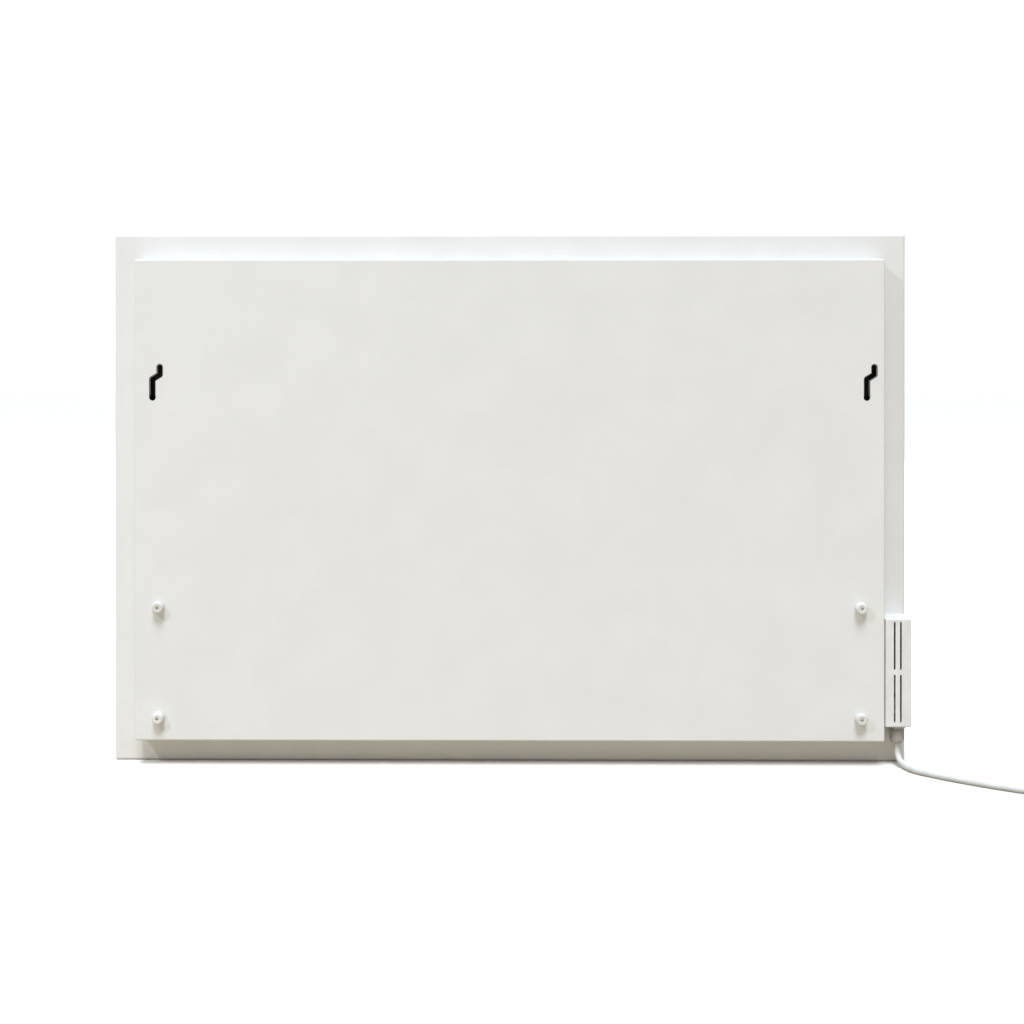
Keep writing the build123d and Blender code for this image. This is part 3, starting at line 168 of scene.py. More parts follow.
def bar(name, low, high):
    """A block between two corners in millimetres, left open for shaping."""
    low, high = Vector(low) * MM, Vector(high) * MM
    start_fresh()
    bpy.ops.mesh.primitive_cube_add(size=1, location=(low + high) / 2, scale=high - low)
    return begin(name)


def arc(a0, r0, a1, r1, steps=4, swell="side"):
    """Stations of a quarter round, which leaves the first station along the side or the top."""
    out = []
    for k in range(1, steps + 1):
        t = math.pi / 2 * k / steps
        u, v = math.sin(t), 1 - math.cos(t)
        if swell == "top":
            u, v = 1 - math.cos(t), math.sin(t)
        out.append((a0 + (a1 - a0) * u, r0 + (r1 - r0) * v))
    return out


# --- materials -----------------------------------------------------------------------------------
FILM_PITCH = 12.0  # of the heating film's printed bars, as all lengths here in millimetres
MARK_STROKE, MARK_REACH = 0.22, 1.25  # half the width and length of a button's strokes
DOT_SPREAD = 0.45  # the square of the dot's radius
BUTTON_FACE = 448.6  # the buttons' marks lie beyond this X
SIGN_STROKE, SIGN_REACH = 0.28, 1.7  # half the width and length of the switch's line
SIGN_RADIUS = 1.55  # of the switch's circle
SIGN_RISE = 4.4  # from the paddle's middle to the circle, and down to the line


class Wire:
    """A socket of a node tree, so that shader maths reads as sums."""

    def __init__(self, nodes, socket):
        self.nodes, self.socket = nodes, socket

    def math(self, operation, *values):
        inputs = dict(enumerate((self, *values)))
        return self.nodes.node("ShaderNodeMath", {"operation": operation}, inputs)

    def __add__(self, other):
        return self.math("ADD", other)

    def __sub__(self, other):
        return self.math("SUBTRACT", other)

    def __mul__(self, other):
        return self.math("MULTIPLY", other)

    def __truediv__(self, other):
        return self.math("DIVIDE", other)

    def __pow__(self, other):
        return self.math("POWER", other)

    def __lt__(self, other):
        return self.math("LESS_THAN", other)

    def __gt__(self, other):
        return self.math("GREATER_THAN", other)

    def __abs__(self):
        return self.math("ABSOLUTE")

    def ramp(self, low, high, to_low=0.0, to_high=1.0):
        """Goes smoothly from to_low to to_high as the value goes from low to high."""
        return self.nodes.node("ShaderNodeMapRange", {"interpolation_type": "SMOOTHSTEP"},
                               {"Value": self, "From Min": low, "From Max": high,
                                "To Min": to_low, "To Max": to_high})


class Nodes:
    """A node tree that starts empty, and the one way to add a node to it."""

    def __init__(self, tree):
        self.tree = tree
        tree.nodes.clear()

    def node(self, kind, settings=None, inputs=None, output=0):
        """Adds a node: its settings first, then the values or links of its sockets."""
        node = self.tree.nodes.new(kind)
        for name, value in (settings or {}).items():
            setattr(node, name, value)
        for name, value in (inputs or {}).items():
            self.feed(node.inputs[name], value)
        return Wire(self, node.outputs[output]) if node.outputs else None

    def feed(self, socket, value):
        """Links a socket or sets its value; a colour of three channels gets its fourth."""
        if isinstance(value, Wire):
            self.tree.links.new(value.socket, socket)
            return
        channels = len(socket.default_value) if hasattr(socket.default_value, "__len__") else 1
        socket.default_value = (*value, 1) if channels == 4 and len(value) == 3 else value


class Finish(Nodes):
    """One material: its surface, and the colour, roughness and bump that vary on it."""

    def __init__(self, name, **surface):
        self.material = bpy.data.materials.new(name)
        self.material.use_nodes = True
        super().__init__(self.material.node_tree)
        self.shader = self.tree.nodes.new("ShaderNodeBsdfPrincipled")
        self.output = self.tree.nodes.new("ShaderNodeOutputMaterial")
        self.tree.links.new(self.shader.outputs[0], self.output.inputs["Surface"])
        self.place = self.node("ShaderNodeTexCoord", output="Object")
        self.set(**surface)

    def set(self, **surface):
        """Feeds the shader's sockets, written with _ for a space."""
        for name, value in surface.items():
            label = name.replace("_", " ").title().replace("Ior", "IOR")
            self.feed(self.shader.inputs[label], value)

    def stretched(self, stretch):
        """The place on the piece, drawn out along the axes by stretch."""
        return self.node("ShaderNodeMapping", {},
                         {"Vector": self.place, "Scale": [1 / s for s in stretch]})

    def noise(self, size, detail=2.0, rough=0.5, stretch=(1, 1, 1)):
        """Soft noise whose blobs are about size millimetres."""
        return self.node("ShaderNodeTexNoise", {},
                         {"Vector": self.stretched(stretch), "Scale": 1 / (size * MM),
                          "Detail": detail, "Roughness": rough})

    def cells(self, size, feature="F1", output="Distance", stretch=(1, 1, 1)):
        """Cells of about size millimetres."""
        return self.node("ShaderNodeTexVoronoi", {"feature": feature},
                         {"Vector": self.stretched(stretch), "Scale": 1 / (size * MM)}, output)

    def axis(self, name):
        """The place along one axis, in millimetres."""
        return self.node("ShaderNodeSeparateXYZ", {}, {"Vector": self.place}, name) * 1000

    def mix(self, factor, one, two):
        """Goes from colour one to colour two."""
        return self.node("ShaderNodeMix", {"data_type": "RGBA"}, {0: factor, 6: one, 7: two}, 2)

    def bump(self, height, depth, strength, under=None):
        """A bump depth millimetres deep, on top of another one where given."""
        inputs = {"Height": height, "Distance": depth * MM, "Strength": strength}
        if under is not None:
            inputs["Normal"] = under
        return self.node("ShaderNodeBump", {}, inputs)


def shade(colour, by):
    """A colour made lighter or darker."""
    return tuple(c * by for c in colour)


def powder_coat(name, colour):
    """Baked textured powder: fine orange peel, faint long waves of the sheet, dust on flat runs."""
    f = Finish(name, coat_weight=0.06, coat_roughness=0.35, ior=1.5)
    peel = f.noise(1.1, 3, 0.55)
    grit = f.noise(0.35, 2, 0.6)
    wave = f.noise(160, 1, 0.4)
    cloud = f.noise(55, 3, 0.55)
    tone = f.mix(cloud.ramp(0.35, 0.7), shade(colour, 0.985), shade(colour, 1.012))
    speck = f.cells(9).ramp(0.0, 0.035, 1.0, 0.0)
    tone = f.mix(speck * 0.12, tone, shade(colour, 0.7))
    f.set(base_color=tone, roughness=peel * 0.14 + cloud * 0.05 + 0.4)
    sheet = f.bump(wave, 1.2, 0.35)
    f.set(normal=f.bump(grit, 0.012, 0.7, f.bump(peel, 0.05, 0.8, sheet)))
    return f.material


def moulded(name, colour, roughness=0.42, grain=0.5, depth=0.012, specks=0.0, **surface):
    """Injection-moulded plastic or rubber: spark-eroded grain and a faint flow pattern."""
    f = Finish(name, **surface)
    flow = f.noise(14, 2, 0.5, (1, 1, 2.5))
    fine = f.noise(grain, 2, 0.6)
    tone = f.mix(flow.ramp(0.3, 0.7), shade(colour, 0.94), shade(colour, 1.05))
    if specks:
        tone = f.mix(f.cells(2.2).ramp(0.0, 0.1, specks, 0.0), tone, shade(colour, 0.55))
    f.set(base_color=tone, roughness=fine * 0.16 + flow * 0.06 + (roughness - 0.11))
    f.set(normal=f.bump(fine, depth, 0.8, f.bump(flow, 0.05, 0.3)))
    return f.material


def worked_metal(name, colour, roughness=0.3, grain=0.4, stretch=(1, 1, 1)):
    """Plated or turned metal: fine tool marks drawn out along stretch, and blotches of tarnish."""
    f = Finish(name, metallic=1.0)
    marks = f.noise(grain, 3, 0.65, stretch)
    tarnish = f.noise(8, 3, 0.6)
    tone = f.mix(tarnish.ramp(0.4, 0.75), colour, shade(colour, 0.78))
    f.set(base_color=tone, roughness=marks * 0.2 + tarnish * 0.12 + (roughness - 0.14))
    f.set(normal=f.bump(marks, 0.01, 0.7))
    return f.material


def galvanised(name, colour):
    """Hot-dip zinc on rolled sheet: spangle of flat crystals, each with its own sheen."""
    f = Finish(name, metallic=0.9)
    crystal = f.cells(9, output="Color")
    level = f.node("ShaderNodeSeparateColor", {}, {"Color": crystal}, "Red")
    edge = f.cells(9, "DISTANCE_TO_EDGE").ramp(0.0, 0.05)
    tone = f.mix(level, shade(colour, 0.82), shade(colour, 1.08))
    bloom = f.noise(30, 3, 0.6).ramp(0.5, 0.8, 0.0, 0.5)
    f.set(base_color=f.mix(bloom, tone, (0.62, 0.63, 0.63)),
          roughness=level * 0.25 + bloom * 0.3 + 0.28)
    f.set(normal=f.bump(edge, 0.02, 0.5, f.bump(f.noise(0.6, 2), 0.01, 0.5)))
    return f.material


def crinkled_foil(name, colour):
    """Aluminium foil that has been folded and smoothed out again."""
    f = Finish(name, metallic=1.0)
    crease = f.cells(11, "DISTANCE_TO_EDGE").ramp(0.0, 0.2)
    soft = f.noise(5, 4, 0.6)
    f.set(base_color=f.mix(soft.ramp(0.3, 0.8), shade(colour, 0.9), colour),
          roughness=soft * 0.2 + 0.16)
    f.set(normal=f.bump(crease, 0.5, 0.5, f.bump(soft, 0.4, 0.5)))
    return f.material


def fibre_mat(name, colour):
    """Mineral wool: tangled strands and loose tufts."""
    f = Finish(name, specular_ior_level=0.1)
    strand = f.noise(0.5, 5, 0.75, (7, 1, 5))
    tuft = f.noise(9, 4, 0.65)
    tone = f.mix(strand.ramp(0.35, 0.7), shade(colour, 0.55), shade(colour, 1.15))
    tone = f.mix(tuft.ramp(0.45, 0.7) * 0.4, tone, shade(colour, 0.6))
    f.set(base_color=tone, roughness=strand * 0.1 + 0.85)
    f.set(normal=f.bump(strand, 0.6, 0.9, f.bump(tuft, 2.0, 0.8)))
    return f.material


def printed_film(name, colour):
    """Heating film: printed carbon bars on clear polyester, with gaps between the bars."""
    f = Finish(name, ior=1.55, coat_weight=0.5, coat_roughness=0.08)
    bars = (f.axis("Z") / FILM_PITCH).math("FRACT").ramp(0.86, 0.9)
    ink = f.noise(0.8, 3, 0.7)
    tone = f.mix(ink, shade(colour, 0.7), shade(colour, 1.4))
    f.set(base_color=f.mix(bars, tone, (0.32, 0.30, 0.26)), roughness=ink * 0.2 + 0.22)
    f.set(normal=f.bump(bars, 0.06, 0.6, f.bump(f.noise(40, 2), 0.6, 0.3)))
    return f.material


def wire_jacket(name, colour, stripe=None):
    """Extruded insulation: drag marks along the wire, with a second colour on one side if given."""
    f = Finish(name, ior=1.5)
    drag = f.noise(0.4, 2, 0.6, (1, 1, 14))
    tone = f.mix(drag.ramp(0.3, 0.7), shade(colour, 0.9), shade(colour, 1.08))
    if stripe:
        side = f.node("ShaderNodeNewGeometry", output="Normal")
        across = f.node("ShaderNodeSeparateXYZ", {}, {"Vector": side}, "Y")
        tone = f.mix(across.ramp(-0.35, -0.25), stripe, tone)
    f.set(base_color=tone, roughness=drag * 0.15 + 0.35)
    f.set(normal=f.bump(drag, 0.02, 0.5))
    return f.material


def marked_cap(name, colour, ink, mark, centre):
    """A moulded cap seen from the side, with a mark printed on its face in generic ink."""
    f = Finish(name, ior=1.5)
    y, z = f.axis("Y") - centre[0], f.axis("Z") - centre[1]
    fine = f.noise(0.4, 2, 0.6)
    tone = f.mix(f.noise(8, 2).ramp(0.3, 0.7), shade(colour, 0.93), shade(colour, 1.06))

    def stroke(across, along):
        return (abs(across) < MARK_STROKE) * (abs(along) < MARK_REACH)

    if mark == "switch":
        line = (abs(y) < SIGN_STROKE) * (abs(z + SIGN_RISE) < SIGN_REACH)
        from_middle = (y * y + (z - SIGN_RISE) ** 2.0) ** 0.5
        shape = line.math("MAXIMUM", abs(from_middle - SIGN_RADIUS) < SIGN_STROKE)
    elif mark == "plus":
        shape = stroke(y, z).math("MAXIMUM", stroke(z, y))
    elif mark == "minus":
        shape = stroke(z, y)
    else:
        shape = (y * y + z * z) < DOT_SPREAD
    if mark != "switch":
        shape = shape * (f.axis("X") > BUTTON_FACE)
    f.set(base_color=f.mix(shape, tone, ink), roughness=fine * 0.12 + shape * 0.1 + 0.34)
    f.set(normal=f.bump(shape, 0.03, 0.5, f.bump(fine, 0.012, 0.7)))
    return f.material


def circuit_laminate(name, colour):
    """Lacquered board with tracks under the lacquer."""
    f = Finish(name, coat_weight=0.5, coat_roughness=0.2)
    weave = f.noise(0.7)
    tracks = f.cells(3.2, stretch=(1, 1, 3)) > 0.62
    tone = f.mix(weave, shade(colour, 0.8), shade(colour, 1.15))
    f.set(base_color=f.mix(tracks, tone, shade(colour, 1.9)), roughness=weave * 0.12 + 0.3)
    f.set(normal=f.bump(tracks, 0.04, 0.6, f.bump(weave, 0.01, 0.5)))
    return f.material


def tinted_lens(name, colour):
    """Clear plastic with fine ribs across it."""
    f = Finish(name, roughness=0.12, transmission_weight=0.55, ior=1.49)
    rib = (f.axis("Z") / 0.8).math("FRACT").math("PINGPONG", 0.5)
    f.set(base_color=f.mix(f.noise(3, 2), shade(colour, 0.9), shade(colour, 1.1)))
    f.set(normal=f.bump(rib, 0.08, 0.5))
    return f.material


def dress(names, material):
    """Gives CAD nodes, or pieces that replace them, their finish."""
    for name in names:
        obj = NODES[name] if isinstance(name, str) else name
        if not obj.material_slots:
            obj.data.materials.append(material)
        for slot in obj.material_slots:
            slot.material = material


def hand_over(piece, body, slot, *nodes):
    """Parents a piece under the body that it moves with and hides the CAD nodes that it stands for.
    """
    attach(piece, body)
    if nodes:
        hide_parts(*nodes)


# --- settings ------------------------------------------------------------------------------------
def colour_of(name, description, value):
    return FloatVectorProperty(name=name, description=description, default=value, size=3,
                               subtype="COLOR", min=0.0, max=1.0)


def length_of(name, description, value):
    return FloatProperty(name=name, description=description, default=value * MM, unit="LENGTH",
                         subtype="DISTANCE", precision=4)


def amount_of(name, description, value):
    return FloatProperty(name=name, description=description, default=value)


class HeaterFinishSettings(bpy.types.PropertyGroup):
    enamel: colour_of("Enamel", "Powder coat of the panel and its rear cover", (0.785, 0.79, 0.785))
    box: colour_of("Control box", "Moulded plastic of the control box", (0.77, 0.775, 0.775))
    gland: colour_of("Gland", "Nylon of the cable gland", (0.40, 0.39, 0.37))
    jacket: colour_of("Lead", "Jacket of the mains lead and its plug", (0.62, 0.64, 0.64))
    # This near-black is the switch's and the bezel's own colour, and painted shade on the cups
    # behind the hook slots.
    dark: colour_of("Dark plastic", "Switch, hook pockets and other black mouldings",
                    (0.018, 0.018, 0.019))


class HeaterBumperSettings(bpy.types.PropertyGroup):
    radius: length_of("Radius", "Half the bumper's width", 6.5)
    sink: length_of("Recess", "Radius of the recess round the screw head", 3.5)
    lip: length_of("Lip", "Radius of the soft lip that closes over the screw head", 1.7)
    rounding: length_of("Rounding", "Rounding of the outer rim", 1.8)


class HeaterLeadSettings(bpy.types.PropertyGroup):
    diameter: length_of("Diameter", "Thickness of the three-core lead", 7.0)
    length: length_of("Length", "Length from the gland to the plug", 1550.0)
    turns_across: length_of("Turn", "Across the middle of the coil's turns", 79.0)
    points: IntProperty(name="Points", description="Control points in each turn", default=24,
                        min=12)


class HeaterStageSettings(bpy.types.PropertyGroup):
    floor: length_of("Floor", "Width of the floor", 24000.0)
    overhead: amount_of("Overhead", "Strength of the light from above", 2.98)
    key: amount_of("Key", "Power of the small lamp at the upper left, in watts", 45.0)
    room: amount_of("Room", "Power of the softbox on the room's side, in watts", 90.0)
    ambient: amount_of("Ambient", "Strength of the room's even light", 0.36)


# --- pieces ---------------------------------------------------------------------------------------
class HEATER_OT_sheet_metal(bpy.types.Operator):
    """Coats the front panel and the rear cover, and finishes the rails and fixings behind them"""
    bl_idname = "heater.sheet_metal"
    bl_label = "Sheet metal"

    def execute(self, context):
        looks = context.scene.heater_finish
        dress(["front_panel"], powder_coat("panel_powder", looks.enamel))
        dress(["rear_cover"], powder_coat("cover_powder", looks.enamel))
        dress(["left_rail", "right_rail"], galvanised("rail_zinc", (0.56, 0.57, 0.58)))
        plated = worked_metal("fixing_zinc", (0.72, 0.72, 0.70), 0.32)
        dress(["rail_rivets", "clinch_nuts", "earth_nut"], plated)
        # The hook plates' dark steel colour is painted shade: it stands for the shade inside the
        # hook slots.
        dress(["left_hanger_plate", "right_hanger_plate"],
              worked_metal("hook_plate_steel_painted_shade", (0.36, 0.36, 0.37), 0.4, 0.5, (1, 1, 9)))
        # The near-black of the cups behind the hook slots is painted shade: it stands for the shade
        # inside the slots.
        dress(["left_hanger_pocket", "right_hanger_pocket"],
              moulded("hook_pocket_painted_shade", looks.dark, 0.55, 0.7))
        return {"FINISHED"}


class HEATER_OT_inner_parts(bpy.types.Operator):
    """Finishes the heating element, the insulation, the leads and the control parts inside"""
    bl_idname = "heater.inner_parts"
    bl_label = "Inner parts"

    def execute(self, context):
        looks = context.scene.heater_finish
        dress(["heating_film"], printed_film("carbon_film", (0.02, 0.02, 0.022)))
        dress(["busbars"], worked_metal("busbar_copper", (0.80, 0.43, 0.28), 0.3, 0.4, (12, 1, 1)))
        dress(["reflector_foil"], crinkled_foil("reflector_aluminium", (0.86, 0.87, 0.88)))
        dress(["insulation_mat"], fibre_mat("rock_wool", (0.52, 0.46, 0.30)))
        dress(["thermal_cutout"],
              moulded("cutout_ceramic", (0.62, 0.58, 0.50), 0.5, 0.6, specks=0.5))
        dress(["lead_live", "lead_cutout"], wire_jacket("insulation_brown", (0.13, 0.055, 0.025)))
        dress(["lead_neutral"], wire_jacket("insulation_blue", (0.03, 0.10, 0.42)))
        dress(["lead_earth"],
              wire_jacket("insulation_earth", (0.80, 0.66, 0.05), (0.03, 0.28, 0.05)))
        dress(["cord_cores"],
              wire_jacket("core_insulation", (0.16, 0.08, 0.04), (0.03, 0.10, 0.42)))
        dress(["earth_tag"], worked_metal("tinned_tag", (0.74, 0.74, 0.73), 0.28))
        dress(["cable_grommet"], moulded("grommet_rubber", (0.05, 0.05, 0.05), 0.6, 0.8))
        dress(["indicator_leds"], moulded("led_resin", (0.85, 0.80, 0.70), 0.15, 0.6, 0.004,
                                          transmission_weight=0.4))
        dress(["circuit_board"], circuit_laminate("board_laminate", (0.02, 0.16, 0.06)))
        dress(["button_switches"], moulded("switch_plastic", (0.03, 0.03, 0.03), 0.35))
        dress(["relay"], moulded("relay_case", (0.02, 0.022, 0.03), 0.28, 0.5))
        dress(["filter_capacitor"], moulded("capacitor_box", (0.55, 0.42, 0.05), 0.3, 0.6))
        dress(["terminal_block"], moulded("terminal_nylon", (0.78, 0.77, 0.72), 0.45, specks=0.2))
        dress(["rocker_blades"], worked_metal("blade_brass", (0.80, 0.62, 0.32), 0.3))
        dress(["gland_seal"], moulded("seal_rubber", (0.03, 0.03, 0.03), 0.65, 0.9))
        dress([f"switch_plunger_{k}" for k in ("up", "mode", "down")],
              moulded("plunger_plastic", (0.45, 0.44, 0.42), 0.4))
        return {"FINISHED"}


class HEATER_OT_bumpers(bpy.types.Operator):
    """Turns the four rubber wall bumpers with their sunk screws"""
    bl_idname = "heater.bumpers"
    bl_label = "Wall bumpers"
    SINK_DEPTH = 3.6
    SCREW_HOLE = 2.2
    RIM = 0.35  # how far the edge at the cover is turned in

    def execute(self, context):
        sizes = context.scene.heater_bumpers
        radius, sink, lip, rounding = (getattr(sizes, key) / MM
                                       for key in ("radius", "sink", "lip", "rounding"))
        rubber = moulded("bumper_rubber", (0.70, 0.70, 0.69), 0.5, 0.45, 0.02)
        dress(["bumper_screws"], worked_metal("screw_zinc", (0.80, 0.80, 0.79), 0.36, 0.25))
        for row in ("lower", "upper"):
            for side in ("left", "right"):
                name = f"wall_bumper_{row}_{side}"
                low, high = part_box(name)
                x, z = ((low[k] + high[k]) / 2 / MM for k in (0, 2))
                back, wall = high[1] / MM, low[1] / MM
                sink_end, rim = wall + self.SINK_DEPTH, radius - self.RIM
                outline = [(back, rim), (back - 0.5, radius), (wall + rounding, radius)]
                outline += arc(wall + rounding, radius, wall, radius - rounding, 5)
                outline += [(wall, lip + 0.5), (wall + 0.15, lip + 0.15), (wall + 0.5, lip),
                            (wall + 0.7, lip + 0.1), (wall + 1.0, sink), (sink_end, sink),
                            (sink_end, self.SCREW_HOLE), (back, self.SCREW_HOLE), (back, rim)]
                puck = lathe(f"{name}_moulding", (x, 0, z), "Y", outline, 64, ring=True)
                smooth(puck, 40)
                dress([puck], rubber)
                hand_over(puck, "heater", "bumper_rubber", name)
        return {"FINISHED"}


class HEATER_OT_control_box(bpy.types.Operator):
    """Finishes the control box, its base, its screws and the strip that carries the controls"""
    bl_idname = "heater.control_box"
    bl_label = "Control box"

    def execute(self, context):
        looks = context.scene.heater_finish
        shell = moulded("box_moulding", looks.box, 0.5, 0.6, 0.03)
        dress(["control_box_housing", "control_box_base"], shell)
        dress(["control_strip"], moulded("strip_moulding", (0.70, 0.69, 0.67), 0.36, 0.4))
        dress(["indicator_lens"], tinted_lens("lens_amber", (0.90, 0.45, 0.10)))
        dress(["box_screws"], worked_metal("box_screw_steel", (0.5, 0.5, 0.5), 0.34, 0.25))
        dress(["rocker_frame"], moulded("rocker_bezel", looks.dark, 0.4))
        return {"FINISHED"}


class HEATER_OT_controls(bpy.types.Operator):
    """Shapes the rocker's paddle and the three push buttons with their marks"""
    bl_idname = "heater.controls"
    bl_label = "Rocker and buttons"

    PADDLE_HALF, PADDLE_WIDE = 8.0, 5.0  # half its height and width
    PADDLE_MIDDLE, PADDLE_TIP = 2.6, 3.4  # its face's height above the pins
    PADDLE_STEPS = 6  # from its middle to each tip
    PADDLE_TILT = math.radians(7)
    STEM, COLLAR, CAP = 1.5, 4.6, 3.6  # radii of a button
    CAP_RISE = 3.0  # from the collar to the face

    def paddle(self, looks):
        pivot = next(j for j in frame["joints"] if j["name"] == "rocker_tip")
        x, y, z = (c / MM for c in pivot["pos_m"])
        half, wide, steps = self.PADDLE_HALF, self.PADDLE_WIDE, self.PADDLE_STEPS
        obj = bar("rocker_paddle", (x - 1, y - wide, z - half),
                  (x + self.PADDLE_MIDDLE, y + wide, z + half))
        for k in range(1 - steps, steps):
            bpy.ops.mesh.select_all(action="SELECT")
            bpy.ops.mesh.bisect(plane_co=(0, 0, (z + k * half / steps) * MM), plane_no=(0, 0, 1))
        for k in range(1, steps + 1):
            level = k * half / steps
            choose(obj, lambda v: v.co.x > (x + 1) * MM
                   and abs(abs(v.co.z / MM - z) - level) < 0.01, "VERT")
            lift = (self.PADDLE_TIP - self.PADDLE_MIDDLE) * (k / steps) ** 1.25
            bpy.ops.transform.translate(value=(lift * MM, 0, 0))
        close(obj)
        soften(obj, 0.45 * MM, 3)
        reopen(obj)
        bpy.ops.mesh.select_all(action="SELECT")

        def top():
            return max((v.co for v in bmesh.from_edit_mesh(obj.data).verts), key=lambda c: c.z).x

        def tilt(angle):
            bpy.ops.transform.rotate(value=angle, orient_axis="Y",
                                     center_override=Vector((x, y, z)) * MM)

        # The operator's sense depends on how Blender runs, so the top is brought out either way.
        before = top()
        tilt(self.PADDLE_TILT)
        if top() < before:
            tilt(-2 * self.PADDLE_TILT)
        close(obj)
        smooth(obj)
        dress([obj], marked_cap("paddle_black", looks.dark, (0.75, 0.75, 0.73), "switch", (y, z)))
        hand_over(obj, "rocker", "rocker_paddle", "power_rocker")

    def button(self, key, mark):
        low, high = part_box(f"button_{key}")
        y, z = ((low[k] + high[k]) / 2 / MM for k in (1, 2))
        face, foot = high[0] / MM, low[0] / MM
        collar = face - self.CAP_RISE
        outline = [(foot, self.STEM), (collar - 1, self.STEM), (collar - 1, self.COLLAR - 0.15),
                   (collar - 0.85, self.COLLAR), (collar, self.COLLAR), (collar, self.CAP),
                   (face - 0.6, self.CAP)]
        outline += arc(face - 0.6, self.CAP, face, self.CAP - 0.6)
        outline += [(face - 0.06, 2.5), (face - 0.14, 1.8), (face - 0.2, 0.9), (face - 0.22, 0.2)]
        cap = lathe(f"button_{key}_cap", (0, y, z), "X", outline, 48)
        smooth(cap, 40)
        dress([cap], marked_cap(f"button_{key}_plastic", (0.62, 0.615, 0.60), (0.06, 0.06, 0.06),
                                mark, (y, z)))
        hand_over(cap, f"button_{key}", "button_plastic", f"button_{key}")

    def execute(self, context):
        self.paddle(context.scene.heater_finish)
        for key, mark in (("up", "plus"), ("mode", "dot"), ("down", "minus")):
            self.button(key, mark)
        return {"FINISHED"}


class HEATER_OT_gland(bpy.types.Operator):
    """Turns the ribbed, domed clamping nut and finishes the gland round the lead"""
    bl_idname = "heater.gland"
    bl_label = "Cable gland"
    MOUTH, BORE = 4.3, 6.3  # radii inside the nut: round the lead, and over the gland's body
    DOME = 6.0  # height of the rounded foot
    RIBS = 12
    RIB = (0.26, 0.74)  # the part of each turn's share that a rib takes

    def execute(self, context):
        looks = context.scene.heater_finish
        nylon = moulded("gland_nylon", looks.gland, 0.45, 0.5, 0.02)
        dress(["gland_body", "gland_locknut"], nylon)
        low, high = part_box("gland_nut")
        x, y = ((low[k] + high[k]) / 2 / MM for k in (0, 1))
        foot, top, side = low[2] / MM, high[2] / MM, (high[0] - low[0]) / 2 / MM
        dome_end = foot + self.DOME
        outline = [(foot, self.MOUTH), (foot, self.MOUTH + 0.6), (foot + 0.25, self.MOUTH + 0.9)]
        outline += arc(foot + 0.25, self.MOUTH + 0.9, dome_end, side, 7, "top")
        outline += [(dome_end + 0.6, side), (dome_end + 1.0, side), (top - 0.6, side),
                    (top - 0.2, side - 0.15), (top, side - 0.4), (top, self.BORE),
                    (dome_end + 0.2, self.BORE), (dome_end + 0.2, self.MOUTH), (foot, self.MOUTH)]
        nut = lathe("gland_nut_ribbed", (x, y, 0), "Z", outline, 96, ring=True)
        reopen(nut)

        def in_groove(face):
            c = face.calc_center_median()
            dx, dy, z = c.x / MM - x, c.y / MM - y, c.z / MM
            turn = (math.atan2(dy, dx) / (2 * math.pi) * self.RIBS) % 1
            on_side = math.hypot(dx, dy) > side - 0.3 and dome_end + 1.0 < z < top - 0.6
            return on_side and not self.RIB[0] < turn < self.RIB[1]

        choose(nut, in_groove)
        bpy.ops.mesh.inset(thickness=0.25 * MM, use_individual=False)
        bpy.ops.transform.shrink_fatten(value=-0.45 * MM)
        close(nut)
        smooth(nut, 40)
        dress([nut], nylon)
        hand_over(nut, "heater", "gland_nylon", "gland_nut")
        return {"FINISHED"}


# The lead's route in millimetres: out of the gland, over the floor, round the coil, to the plug.
CORD_ROUTE = ((437.0, -1.0, 26.0), (437.0, -1.0, 18.4), (437.6, -3.4, 11.4), (439.2, -8.6, 6.0),
              (441.8, -16.6, 3.5), (445.2, -26.5, 3.5), (451.5, -36.5, 3.5), (461.5, -45.2, 3.5),
              (477.5, -58.6, 3.5), (497.0, -72.6, 3.5), (519.0, -87.5, 3.5), (543.0, -101.5, 3.5),
              (567.5, -111.3, 3.5), (590.0, -116.8, 3.5), (609.0, -118.5, 3.5))
TAIL_ROUTE = ((671.5, -72.0, 10.5), (671.5, -60.0, 10.5), (671.8, -48.0, 11.6),
              (672.8, -36.0, 15.2), (674.0, -26.0, 18.4))
COIL_CENTRE = (625.0, -72.0)
COIL_TURNS = 5.25
STEPS_IN = ((0.62, 1.0), (1.62, 2.0))  # turns over which the lead moves one ring inwards
CLIMB = (2.42, 2.72)  # turns over which it climbs onto the rings on the floor
STEPS_OUT = ((3.27, 3.60), (4.27, 4.60))  # turns over which it moves one ring outwards
TIE_LIFT = 0.55  # how far the tie's strap lifts the rings
TIE_RUN = (0.19, 0.85)  # radians from the tie over which they come down again


def eased(value, low, high):
    """Goes smoothly from 0 to 1 as the value goes from low to high."""
    t = min(1.0, max(0.0, (value - low) / (high - low)))
    return t * t * (3 - 2 * t)


